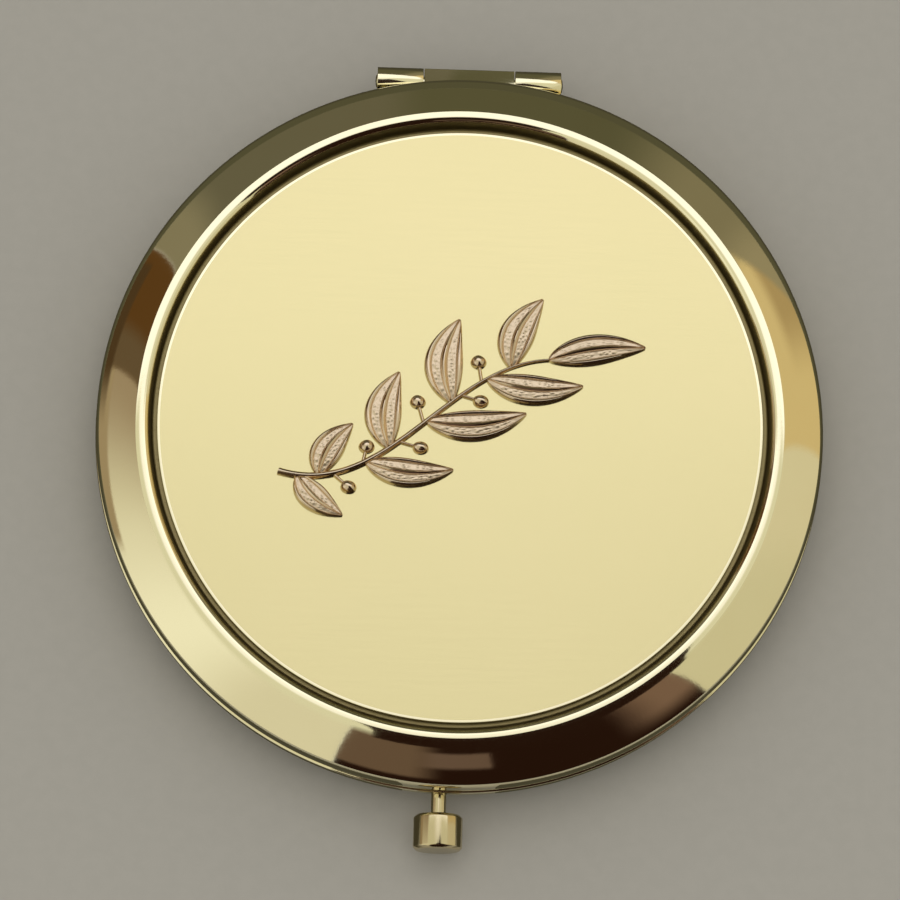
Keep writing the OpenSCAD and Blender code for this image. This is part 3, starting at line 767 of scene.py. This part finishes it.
def add_rib(mesh, points, widths, high_w, sides=17):
    """A half-round rib through points, as high as the sprig where it is as wide as high_w."""
    loops = []
    for k, point in enumerate(points):
        ahead = points[min(k + 1, len(points) - 1)] - points[max(k - 1, 0)]
        cross = Vector((ahead.y, -ahead.x)).normalized()
        rise = SPRIG_H * math.sqrt(widths[k] / high_w)
        loop = []
        for i in range(sides):
            a = math.pi * i / (sides - 1)
            flat = point + widths[k] / 2 * math.cos(a) * cross
            loop.append((*flat, rise * math.sin(a)))
        loops.append(loop)
    skin(mesh, loops)


def add_berry(mesh, sizes, place_share, side, reach, turn):
    """A berry on its own short stalk, as one rib that swells."""
    steps, tip_share = 30, 0.98
    start, heading = stalk_at(place_share)
    way = polar(heading + side * math.radians(turn))
    thin_w = sizes.stalk_w * STALK_TAPER_SHARE
    neck = math.asin(thin_w / sizes.berry_d)
    swell = [neck + (math.pi * tip_share - neck) * k / steps for k in range(steps + 1)]
    middle = reach * sizes.leaf_l
    points = [start + (middle - sizes.berry_d / 2 * math.cos(a)) * way for a in swell]
    widths = [thin_w] + [sizes.berry_d * math.sin(a) for a in swell]
    add_rib(mesh, [start] + points, widths, sizes.berry_d, sides=33)


def sprig_mesh(sizes):
    """The whole sprig, fitted to the box of its solid."""
    mesh = bmesh.new()
    steps = 90
    places = [k / steps for k in range(steps + 1)]
    widths = [sizes.stalk_w * (1 - (1 - STALK_TAPER_SHARE) * t) for t in places]
    add_rib(mesh, [stalk_at(t)[0] for t in places], widths, sizes.berry_d)
    for leaf in LEAF_SHARES:
        add_leaf(mesh, sizes, *leaf)
    for berry in BERRY_SHARES:
        add_berry(mesh, sizes, *berry)
    low = Vector([min(v.co[i] for v in mesh.verts) for i in range(3)])
    high = Vector([max(v.co[i] for v in mesh.verts) for i in range(3)])
    room = SPRIG_HIGH - SPRIG_LOW
    for v in mesh.verts:
        v.co = SPRIG_LOW + Vector([(v.co[i] - low[i]) / (high[i] - low[i]) * room[i] for i in range(3)])
    return mesh


# Other pieces

# The groove's painted shade begins where a face's normal is farther from upright than 56 degrees
GROOVE_SHADE_LEVEL = math.cos(math.radians(56))


def pressing(sizes, hinge, name, to_place):
    """One pressed half, with the gap for the knuckles."""
    mesh = bmesh.new()
    outside = half_outline(sizes, 0, to_place is in_base)
    revolve(mesh, outside + half_outline(sizes, sizes.sheet_t)[::-1], sizes.turns)
    groove_shade_h = HALF_H - sizes.crest_in_r * (1 - GROOVE_SHADE_LEVEL)
    # Faces low in the recess beside the disc get the second finish, which is painted shade
    for face in mesh.faces:
        middle = face.calc_center_median()
        beside_disc = DISC_HIGH.x - sizes.sheet_t < middle.xy.length < DISC_HIGH.x + sizes.recess_depth
        face.material_index = 1 if beside_disc and middle.z < groove_shade_h else 0
    to_place(mesh)
    piece = as_object(mesh, name)
    gap = bmesh.new()
    reach = hinge.hinge_w / 2 + sizes.notch_play
    side = 1 if to_place is in_lid else -1
    heights = sorted((PARTING_Z - side * sizes.notch_h, PARTING_Z + side * sizes.notch_h))
    block(gap, (-reach, BODY_R - 3 * sizes.notch_h, heights[0]), (reach, BODY_R + sizes.notch_h, heights[1]))
    return piece, gap


def leaf_inner_r(hinge):
    """Distance of a hinge leaf's inner face from the body's axis."""
    return BODY_R - settings("pressing").sheet_t - hinge.leaf_gap - hinge.leaf_t


def rolled_knuckle(mesh, hinge, start, end, flat):
    """A knuckle rolled from its leaf round the pin, drawn above the axis as in the lid.

    A flat, in degrees, is pressed across its top and slopes down to the back.
    """
    wrap, lap, steps, front_share = 252, 14, 56, 0.25
    bore_r = hinge.pin_r + hinge.pin_fit
    reach = HINGE_Y - leaf_inner_r(hinge)
    under = hinge.barrel_r - hinge.leaf_t
    axis = Vector((HINGE_Y, 0))
    top = axis + hinge.barrel_r * polar(math.radians(90 + front_share * flat))
    outline = [Vector((HINGE_Y - reach, top.y))] + ([top] if flat else [])
    outline += arc(axis, hinge.barrel_r, 90 - (1 - front_share) * flat, 90 - wrap, steps)
    outline += arc(axis, bore_r, 90 - wrap, 90 + lap, steps)
    outline += [Vector((HINGE_Y - bore_r, under)), Vector((HINGE_Y - reach, under))]
    skin(mesh, [[(x, y, z) for y, z in outline] for x in (start, end)])


def add_web(piece, hinge, start, end, to_place, steps=12):
    """Joins the web between a leaf and a knuckle to its piece."""
    inner_r = leaf_inner_r(hinge)
    outer_r = inner_r + hinge.leaf_t
    low, high = hinge.barrel_r - hinge.leaf_t, hinge.barrel_r + hinge.knuckle_gap + hinge.leaf_t
    loops = []
    for i in range(steps + 1):
        x = start + (end - start) * i / steps
        near, far = (math.sqrt(r ** 2 - x * x) for r in (inner_r, outer_r))
        loops.append(cross_loop(x, near, far, low, high))
    web = bmesh.new()
    skin(web, loops)
    to_place(web)
    join(piece, web)


def hinge_leaf(hinge, name, spans, to_place, flat=0):
    """A leaf inside the wall with its rolled knuckles."""
    mesh = bmesh.new()
    inner_r = leaf_inner_r(hinge)
    low, high = hinge.barrel_r + hinge.knuckle_gap, PARTING_Z - LEAF_LOW.z
    curved_plate(mesh, inner_r, inner_r + hinge.leaf_t, LEAF_HIGH.x, low, high)
    for start, end in spans:
        rolled_knuckle(mesh, hinge, start, end, flat)
    to_place(mesh)
    piece = as_object(mesh, name)
    soften(piece, hinge.edge_round)
    apply_modifiers(piece)
    for start, end in spans:
        add_web(piece, hinge, start, end, to_place)
    return piece


def join(piece, mesh):
    """Adds a bmesh to a piece."""
    whole = bmesh.new()
    whole.from_mesh(piece.data)
    bmesh.ops.recalc_face_normals(mesh, faces=mesh.faces)
    added = bpy.data.meshes.new("added")
    mesh.to_mesh(added)
    mesh.free()
    whole.from_mesh(added)
    bpy.data.meshes.remove(added)
    whole.to_mesh(piece.data)
    whole.free()
    smooth(piece.data)


def along_x(mesh):
    """Lays a piece drawn round Z along X, through the pin's axis."""
    turn = Matrix.Translation((0, HINGE_Y, HINGE_Z)) @ Matrix.Rotation(math.pi / 2, 4, "Y")
    bmesh.ops.transform(mesh, matrix=turn, verts=mesh.verts)


def along_button(mesh):
    """Lays a piece drawn round Z along the button's axis, with Z towards the front."""
    turn = Matrix.Translation((BUTTON_X, 0, BUTTON_Z)) @ Matrix.Rotation(math.pi / 2, 4, "X")
    bmesh.ops.transform(mesh, matrix=turn, verts=mesh.verts)


class COMPACT_OT_pressings(bpy.types.Operator):
    """Build the lid and the base, pressed from bright plated sheet"""

    bl_idname = "compact.pressings"
    bl_label = "Pressings"

    def execute(self, context):
        sizes, hinge = settings("pressing"), settings("hinge")
        # The second finish is painted shade for the recess round the disc
        looks = ["bright_gold", "groove_gold"]
        lid, lid_gap = pressing(sizes, hinge, "lid_pressing", in_lid)
        place(lid, "lid", "gold_shell", looks, "lid_shell")
        carve(lid, lid_gap)
        base, base_gap = pressing(sizes, hinge, "base_pressing", in_base)
        place(base, "base", "gold_shell", looks, "base_shell")
        hole = bmesh.new()
        hole_r = (STEM_HIGH.x - STEM_LOW.x) / 2 + sizes.stem_fit
        start, end = ((BUTTON_X, -BODY_R + reach, BUTTON_Z) for reach in (-OVERRUN, 2 * OVERRUN))
        rod(hole, hole_r, start, end)
        carve(base, base_gap, hole)
        return {"FINISHED"}


class COMPACT_OT_disc(bpy.types.Operator):
    """Build the satin disc in the lid's recess and dress its film"""

    bl_idname = "compact.disc"
    bl_label = "Insert disc"

    def execute(self, context):
        sizes = settings("pressing")
        round_steps = 8
        radius, low, high = DISC_HIGH.x - sizes.disc_trim, DISC_LOW.z, DISC_HIGH.z
        corner = Vector((radius - sizes.disc_round, high - sizes.disc_round))
        land_r = corner.x - sizes.disc_land
        outline = [(0, low), (radius, low), *arc(corner, sizes.disc_round, 0, 90, round_steps)]
        mesh = bmesh.new()
        revolve(mesh, outline + [(land_r, high), (0, high)], sizes.turns)
        for face in mesh.faces:
            face.normal_update()
            middle = face.calc_center_median()
            if middle.xy.length > land_r and middle.z > low:
                # The steep side of the disc's edge gets the groove's painted shade, its top the bright
                # plating
                face.material_index = 1 if abs(face.normal.z) > GROOVE_SHADE_LEVEL else 2
        disc = as_object(mesh, "satin_disc", sharp=50)
        looks = ["satin_gold", "bright_gold", "groove_gold"]
        place(disc, "lid", "satin_gold_disc", looks, "lid_insert_disc")
        dress("film", "lid_disc_tape")
        return {"FINISHED"}


class COMPACT_OT_sprig(bpy.types.Operator):
    """Build the rose-gold sprig in relief"""

    bl_idname = "compact.sprig"
    bl_label = "Sprig"

    def execute(self, context):
        sprig = as_object(sprig_mesh(settings("sprig")), "sprig", sharp=50)
        place(sprig, "lid", "rose_gold", ["rose_bright", "rose_field"], "emblem")
        return {"FINISHED"}


class COMPACT_OT_mirrors(bpy.types.Operator):
    """Build the two glasses and their rings, and dress their foam pads"""

    bl_idname = "compact.mirrors"
    bl_label = "Mirrors"

    def glass(self, name, front, to_place):
        """A glass with a silvered front, ground sides and a painted back."""
        radius, back_h = GLASS_HIGH.x, GLASS_HIGH.z - PARTING_Z
        mesh = bmesh.new()
        revolve(mesh, front + [(radius, back_h), (0, back_h)], settings("pressing").turns)
        to_place(mesh)
        piece = as_object(mesh, name, sharp=20)
        facing = -1 if to_place is in_lid else 1
        level = 0.5
        for face in piece.data.polygons:
            rise = facing * face.normal.z
            face.material_index = 0 if rise > level else (2 if rise < -level else 1)
        return piece

    def ring(self, name, to_place):
        """A ring whose lip holds the glass, with its window and its relief for the hinge."""
        sizes, hinge, pressed = settings("mirrors"), settings("hinge"), settings("pressing")
        front_h, glass_h, skirt_h = (z - PARTING_Z for z in (RING_LOW.z, GLASS_LOW.z, RING_HIGH.z))
        lip_r, skirt_in_r = GLASS_HIGH.x - sizes.ring_lip, GLASS_HIGH.x + sizes.ring_fit
        outer_r, skirt_r = BODY_R - pressed.sheet_t - sizes.ring_gap, skirt_in_r + sizes.ring_t
        corners = [(lip_r, glass_h), (lip_r, front_h), (outer_r, front_h), (outer_r, glass_h),
                   (skirt_r, glass_h), (skirt_r, skirt_h), (skirt_in_r, skirt_h), (skirt_in_r, glass_h)]
        mesh, window, relief = bmesh.new(), bmesh.new(), bmesh.new()
        revolve(mesh, rounded(corners, sizes.ring_t / 3), pressed.turns)
        low, high, half_w = front_h - OVERRUN, glass_h + OVERRUN / 2, sizes.window_w / 2
        block(window, (BUTTON_X - half_w, -BODY_R, low), (BUTTON_X + half_w, -skirt_r - sizes.ring_fit, high))
        reach = hinge.hinge_w / 2 + pressed.notch_play
        relief_r = leaf_inner_r(hinge) - 2 * sizes.ring_gap
        steps = 32
        places = [-reach + 2 * reach * i / steps for i in range(steps + 1)]
        skin(relief, [cross_loop(x, math.sqrt(relief_r ** 2 - x * x), BODY_R, low, high) for x in places])
        for part in (mesh, window, relief):
            to_place(part)
        piece = as_object(mesh, name)
        carve(piece, window, relief)
        return piece

    def execute(self, context):
        sizes = settings("mirrors")
        dish_steps = 40
        radius, front_h = GLASS_HIGH.x, GLASS_LOW.z - PARTING_Z
        flat = [(0, front_h), (radius - sizes.bevel, front_h), (radius, front_h + sizes.bevel)]
        dish_r = (radius ** 2 + sizes.dish_depth ** 2) / (2 * sizes.dish_depth)
        dish_end = 90 - math.degrees(math.asin(radius / dish_r))
        dished = arc(Vector((0, front_h + sizes.dish_depth - dish_r)), dish_r, 90, dish_end, dish_steps)
        looks = ["silvering", "ground_glass", "backing_paint"]
        place(self.glass("lid_glass", flat, in_lid), "lid", "mirror_glass", looks, "lid_mirror")
        place(self.glass("base_glass", dished, in_base), "base", "mirror_glass", looks, "base_mirror")
        place(self.ring("lid_ring", in_lid), "lid", "gold_ring", ["ring_gold"], "lid_mirror_ring")
        place(self.ring("base_ring", in_base), "base", "gold_ring", ["ring_gold"], "base_mirror_ring")
        dress("foam", "lid_mirror_pad", "base_mirror_pad")
        return {"FINISHED"}


class COMPACT_OT_hinge(bpy.types.Operator):
    """Build the hinge leaves with their rolled knuckles, and the peened pin"""

    bl_idname = "compact.hinge"
    bl_label = "Hinge"

    def execute(self, context):
        hinge = settings("hinge")
        flat, steps = 96, 10
        end, inner = hinge.hinge_w / 2, hinge.lid_knuckle_w / 2
        outer = inner + hinge.knuckle_gap
        lid = hinge_leaf(hinge, "lid_leaf", [(-inner, inner)], in_lid, flat)
        place(lid, "lid", "gold_hinge", ["hinge_gold"], "lid_hinge_leaf")
        base = hinge_leaf(hinge, "base_leaf", [(-end, -outer), (outer, end)], in_base)
        place(base, "base", "gold_hinge", ["hinge_gold"], "base_hinge_leaf")
        head_r, tip = (PIN_HIGH.z - PIN_LOW.z) / 2, PIN_HIGH.x
        start = end + settings("button").press_gap
        lifts = [math.pi / 2 * i / steps for i in range(steps)]
        dome = [(head_r * math.cos(a), start + (tip - start) * math.sin(a)) for a in lifts]
        half = [(hinge.pin_r, start), *dome, (0, tip)]
        mesh = bmesh.new()
        revolve(mesh, [(r, -x) for r, x in half[::-1]] + half, turns=48)
        along_x(mesh)
        pin = as_object(mesh, "peened_pin")
        place(pin, "base", "gold_hinge", ["hinge_gold"], "hinge_pin")
        return {"FINISHED"}


class COMPACT_OT_button(bpy.types.Operator):
    """Build the turned knob and its stem, and dress the steel latch pieces"""

    bl_idname = "compact.button"
    bl_label = "Push button and latch"

    def turned(self, name, corners, turns, sharp=SHARP):
        """A rounded piece turned about the button's axis."""
        mesh = bmesh.new()
        revolve(mesh, rounded(corners, settings("button").knob_round), turns)
        along_button(mesh)
        return as_object(mesh, name, sharp)

    def execute(self, context):
        sizes = settings("button")
        radius, near, far = (KNOB_HIGH.x - KNOB_LOW.x) / 2, -KNOB_HIGH.y, -KNOB_LOW.y
        stem_r = (STEM_HIGH.x - STEM_LOW.x) / 2
        bore_r, bore_end = stem_r + sizes.press_gap, near + sizes.stem_seat
        bevel = sizes.knob_bevel
        corners = [(0, far), (radius - bevel, far), (radius, far - bevel), (radius, near + bevel),
                   (radius - bevel, near), (bore_r, near), (bore_r, bore_end), (0, bore_end)]
        knob = self.turned("turned_knob", corners, turns=96, sharp=60)
        place(knob, "button", "gold_knob", ["knob_gold"], "button_knob")
        shoulder, tail_end, stem_end = -hook_face(), -STEM_HIGH.y, -STEM_LOW.y
        corners = [(0, stem_end), (stem_r, stem_end), (stem_r, shoulder), (sizes.tail_r, shoulder),
                   (sizes.tail_r, tail_end), (0, tail_end)]
        stem = self.turned("turned_stem", corners, turns=64)
        place(stem, "button", "gold_knob", ["knob_gold"], "button_stem")
        dress("latch_steel", "stop_collar", "latch_hook", "latch_bracket", "lid_catch")
        return {"FINISHED"}


class COMPACT_OT_spring(bpy.types.Operator):
    """Build the return spring with its closed ends"""

    bl_idname = "compact.spring"
    bl_label = "Return spring"

    def execute(self, context):
        sizes = settings("button")
        coil_r = (SPRING_HIGH.x - SPRING_LOW.x) / 2 - sizes.wire_r
        start, run = SPRING_LOW.y + sizes.wire_r, SPRING_HIGH.y - SPRING_LOW.y - 2 * sizes.wire_r
        steps, sides = 220, 14
        loops = []
        for k in range(steps + 1):
            u = k / steps
            a = FULL_TURN * sizes.coils * u
            advance = start + run * u
            loop = []
            for i in range(sides):
                b = -FULL_TURN * i / sides
                reach = coil_r + sizes.wire_r * math.cos(b)
                loop.append((BUTTON_X + reach * math.cos(a), advance + sizes.wire_r * math.sin(b),
                             BUTTON_Z + reach * math.sin(a)))
            loops.append(loop)
        mesh = bmesh.new()
        skin(mesh, loops)
        spring = as_object(mesh, "coil_spring")
        place(spring, "base", "spring_steel", ["spring_wire"], "return_spring")
        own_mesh(spring)
        return {"FINISHED"}


def hook_face():
    """The Y of the front face of the hook's plate, where the stem's shoulder sits."""
    return min(v.co.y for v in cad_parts["latch_hook"].data.vertices if v.co.z < BUTTON_Z)


# Stage

# Studio cards round the object: name, distance, azimuths, elevations, fades in degrees along the
# first and last azimuth and the lowest and highest elevation, colour, and the turn of its top edge
CARDS = [
    ("front_patch", 1.3, (-112.5, -90), (18, 50), (0.8, 8, 3, 2), (0.125, 0.08, 0.055), 0),
    ("front_glow", 1.32, (-100, -80), (27, 43), (8, 1, 4, 3), (0.125, 0.08, 0.062), 0),
    ("side_patch", 1.3, (-55, -36), (12, 62), (13, 1, 17, 3), (0.183, 0.112, 0.08), 0),
    ("front_flag", 1.36, (-112.5, -36), (-10, 58), (0.8, 0.8, 1, 1.5), (0.0172, 0.0068, 0.004), 0),
    ("warm_side", 1.58, (-15, 16), (-10, 56), (15, 1, 1, 8), (0.645, 0.59, 0.42), 0),
    ("warm_front", 1.6, (-37, 16), (-10, 56), (1, 1, 1, 8), (0.6, 0.56, 0.39), 0),
    ("olive_card", 1.4, (56, 102), (-10, 70), (14, 8, 1, 1), (0.096, 0.09, 0.05), 0),
    ("dusk_far", 1.44, (42, 76), (-10, 64), (8, 1, 1, 1), (0.205, 0.18, 0.112), 0),
    ("dusk_card", 1.46, (29.5, 60), (-10, 50), (3, 1, 1, 1), (0.285, 0.245, 0.155), 22),
    ("amber_shade", 1.48, (22, 50), (-10, 26), (12, 1, 1, 12), (0.4, 0.29, 0.14), 0),
    ("amber_card", 1.5, (7.5, 62), (-10, 48), (2, 1, 1, 8), (0.614, 0.482, 0.25), 6),
    ("grey_card", 1.42, (90, 134), (-10, 70), (1, 8, 1, 1), (0.128, 0.116, 0.077), 0),
    ("pale_stripe", 1.45, (120, 139.5), (-10, 64), (1, 0.6, 1, 1), (0.225, 0.2, 0.132), 0),
    ("brown_low", 1.38, (141, 170), (-10, 11), (1.5, 12, 1, 3), (0.069, 0.04, 0.018), 0),
    ("brown_east", 1.4, (150, 159.5), (-10, 60), (4, 1.5, 1, 4), (0.119, 0.079, 0.043), 0),
    ("brown_card", 1.43, (139, 159.5), (-10, 60), (0.6, 1.5, 1, 4), (0.1, 0.046, 0.013), 0),
    ("tan_low", 1.46, (155, 192), (-10, 15), (1, 5, 1, 3), (0.33, 0.254, 0.16), 0),
    ("tan_card", 1.48, (156, 188), (-10, 56), (1, 28, 1, 6), (0.33, 0.254, 0.172), 0),
    ("bright_core", 1.53, (-182, -130), (-10, 56), (30, 22, 1, 8), (0.888, 0.867, 0.72), 0),
    ("bright_card", 1.55, (-204, -112), (-10, 56), (1, 0.8, 1, 8), (0.687, 0.648, 0.5), 0),
]
# Panels overhead that only gloss sees, from the highest down: name, height, shift along Y, azimuths,
# radii, fades along the four edges, colour
OVERHEADS = [
    ("sky_panel", 1.0, 0.6, (-180, 180), (0.001, 1.04), (0.1, 0.1, 0.0001, 0.1), (1.2, 1.18, 1.15)),
    ("sky_dim", 0.94, 0.217, (-192, 8), (0.02, 1.13), (12, 12, 0.36, 0.2), (0.7, 0.68, 0.52)),
    ("sky_flag", 0.9, 0.208, (-104, -41), (0.21, 1.08), (1, 1, 0.02, 0.01), (0.0172, 0.0068, 0.004)),
]
# Dimmer sheet under the first of them: height, extent along X, extent along Y, fades, colour
SKY_SHEET = (0.97, (-0.6, 0.6), (-0.45, 0.272), (0.15, 0.15, 0.15, 0.1), (1.03, 1.01, 0.98))
# Dark ring on the floor that only gloss sees: azimuths, inner and outer radius, shift, height, colour
SHADE_RING = ((-83, 263), 32 * MM, 72 * MM, 16 * MM, 0.12 * MM, (0.06, 0.055, 0.036))
# Dark sheet on the floor behind, seen the same way, painted shade that darkens the floor in reflections:
# height, extent along X, extent along Y, fades, colour
BACK_SHADE_SHEET = (0.08 * MM, (-0.9, 0.9), (-0.06, 1.3), (0.1, 0.1, 0.06, 0.01), (0.085, 0.08, 0.048))


def card_finish(name, tint, fade_shares):
    """A plain glow that fades out along its edges, by shares of its width and of its height."""
    material, tree = new_material(name)
    tree.nodes.remove(tree.nodes["Principled BSDF"])
    across = node(tree, "UVMap", uv_map="span").outputs["UV"]
    split = node(tree, "SeparateXYZ", {"Vector": across})
    mask = 1.0
    for side, edge, fade in zip("XXYY", (0, 1, 0, 1), fade_shares):
        near = span(tree, split.outputs[side], (edge, edge + (fade if edge == 0 else -fade)))
        mask = node(tree, "Math", {0: mask, 1: near}, operation="MULTIPLY").outputs[0]
    glow = node(tree, "Emission", {"Color": rgba(tint), "Strength": 1.0})
    clear = node(tree, "BsdfTransparent")
    mixed = node(tree, "MixShader", {0: mask, 1: clear.outputs[0], 2: glow.outputs[0]})
    tree.links.new(mixed.outputs[0], tree.nodes["Material Output"].inputs["Surface"])
    return material


def add_panel(name, point_at, tint, fades, width=1, height=1, columns=24, rows=12):
    """A panel that only gloss sees, laid out by a function from its two shares to a point.

    Its fades are in the units of its width and its height.
    """
    mesh = bmesh.new()
    grid = []
    for j in range(rows + 1):
        grid.append([mesh.verts.new(point_at(i / columns, j / rows)) for i in range(columns + 1)])
    layer = mesh.loops.layers.uv.new("span")
    for j in range(rows):
        for i in range(columns):
            corners = ((i, j), (i + 1, j), (i + 1, j + 1), (i, j + 1))
            face = mesh.faces.new([grid[r][c] for c, r in corners])
            for loop, (c, r) in zip(face.loops, corners):
                loop[layer].uv = (c / columns, r / rows)
    panel = as_object(mesh, name)
    fade_shares = [fade / whole for fade, whole in zip(fades, (width, width, height, height))]
    panel.data.materials.append(card_finish(name, tint, fade_shares))
    panel.visible_camera = False
    panel.visible_shadow = False
    panel.visible_diffuse = False


def extent(ends):
    """How far it is from one end to the other."""
    return ends[1] - ends[0]


def add_card(name, distance, azimuths, elevations, fades, tint, slant):
    """A curved card that stands round the object."""
    width, height = extent(azimuths), extent(elevations)

    def point_at(u, v):
        swing = math.radians(azimuths[0] + width * u + slant * v)
        lift = math.radians(elevations[0] + height * v)
        return (*(distance * math.cos(lift) * polar(swing)), distance * math.sin(lift))

    add_panel(name, point_at, tint, fades, width, height)


def add_flat(name, level, xs, ys, fades, tint):
    """A level panel."""
    width, depth = extent(xs), extent(ys)

    def point_at(u, v):
        return (xs[0] + width * u, ys[0] + depth * v, level)

    add_panel(name, point_at, tint, fades, width, depth)


def add_sector(name, level, shift, azimuths, radii, fades, tint):
    """A level part of a ring overhead."""
    width, depth = extent(azimuths), extent(radii)

    def point_at(u, v):
        way = polar(math.radians(azimuths[0] + width * u))
        return (*((radii[0] + depth * v) * way + Vector((0, shift))), level)

    add_panel(name, point_at, tint, fades, width, depth, columns=96)


def add_shade_ring(name, azimuths, inner_r, outer_r, shift, level, tint):
    """A ring on the floor round the body, open at the button, which fades outwards."""
    width, fade_share = extent(azimuths), 0.6

    def point_at(u, v):
        way = polar(math.radians(azimuths[0] + width * u))
        return (*((inner_r + (outer_r - inner_r) * v) * way + Vector((0, shift * v))), level)

    add_panel(name, point_at, tint, (TINY, TINY, TINY, fade_share), columns=96)


class COMPACT_OT_stage(bpy.types.Operator):
    """Set the floor, the plain surround, the softbox, the studio cards and the camera"""

    bl_idname = "compact.stage"
    bl_label = "Stage"

    def floor(self, stage):
        """The plain floor, a sheet of paper."""
        mesh = bmesh.new()
        bmesh.ops.create_grid(mesh, x_segments=1, y_segments=1, size=3.0)
        floor = as_object(mesh, "plain_floor")
        paper = matt("floor_paper", stage.floor, shade(stage.floor, 1.03), rough=0.85, grain_scale=700,
                     grain_h=1e-5)
        floor.data.materials.append(paper)

    def softbox(self, scene, stage):
        """A softbox over the object, which matt surfaces see."""
        lamp = bpy.data.lights.new("softbox", "AREA")
        lamp.shape = "SQUARE"
        lamp.size = stage.softbox_side
        lamp.color = stage.softbox
        lamp.energy = stage.softbox_level * math.pi * stage.softbox_side ** 2
        box = bpy.data.objects.new("softbox", lamp)
        lean = math.pi / 2 - stage.elevation
        box.location = stage.softbox_height * Vector((0, math.sin(lean), math.cos(lean)))
        box.rotation_euler = (-lean, 0, 0)
        scene.collection.objects.link(box)
        box.visible_glossy = False

    def camera(self, scene, stage):
        """The camera, turned about its own axis by the roll."""
        lens = bpy.data.cameras.new("camera")
        lens.sensor_width = 36
        lens.lens = stage.lens / MM
        lens.clip_end = 20
        camera = bpy.data.objects.new("camera", lens)
        back = Vector((-math.sin(stage.swing), -math.cos(stage.elevation), math.sin(stage.elevation)))
        back.normalize()
        aim = Vector((stage.aim_x, stage.aim_y, stage.aim_z))
        turn = back.to_track_quat("Z", "Y").to_matrix() @ Matrix.Rotation(stage.roll, 3, "Z")
        camera.matrix_world = Matrix.Translation(aim + stage.distance * back) @ turn.to_4x4()
        scene.collection.objects.link(camera)
        scene.camera = camera

    def execute(self, context):
        scene, stage = context.scene, settings("stage")
        self.floor(stage)
        world = bpy.data.worlds.new("plain_room")
        world.use_nodes = True
        world.node_tree.nodes["Background"].inputs["Color"].default_value = rgba(stage.room)
        scene.world = world
        self.softbox(scene, stage)
        for card in CARDS:
            add_card(*card)
        add_shade_ring("floor_shade", *SHADE_RING)
        for panel in OVERHEADS:
            add_sector(*panel)
        add_flat("sky_sheet", *SKY_SHEET)
        add_flat("back_shade_sheet", *BACK_SHADE_SHEET)
        self.camera(scene, stage)
        scene.view_settings.view_transform = "Standard"
        return {"FINISHED"}


OPERATORS = (COMPACT_OT_pressings, COMPACT_OT_disc, COMPACT_OT_sprig, COMPACT_OT_mirrors, COMPACT_OT_hinge,
             COMPACT_OT_button, COMPACT_OT_spring, COMPACT_OT_stage)


class COMPACT_PT_panel(bpy.types.Panel):
    """Buttons that build each piece"""

    bl_idname = "COMPACT_PT_panel"
    bl_label = "Compact mirror"
    bl_space_type = "VIEW_3D"
    bl_region_type = "UI"
    bl_category = "Compact"

    def draw(self, context):
        for operator in OPERATORS:
            self.layout.operator(operator.bl_idname)


def register():
    for group in GROUPS.values():
        bpy.utils.register_class(group)
    for name, group in GROUPS.items():
        setattr(bpy.types.Scene, "compact_" + name, PointerProperty(type=group))
    for kind in (*OPERATORS, COMPACT_PT_panel):
        bpy.utils.register_class(kind)


def unregister():
    for kind in (COMPACT_PT_panel, *reversed(OPERATORS)):
        bpy.utils.unregister_class(kind)
    for name, group in reversed(GROUPS.items()):
        delattr(bpy.types.Scene, "compact_" + name)
        bpy.utils.unregister_class(group)


def main():
    """Registers the add-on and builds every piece."""
    register()
    for operator in OPERATORS:
        group, name = operator.bl_idname.split(".")
        getattr(getattr(bpy.ops, group), name)()


if __name__ == "__main__":
    main()
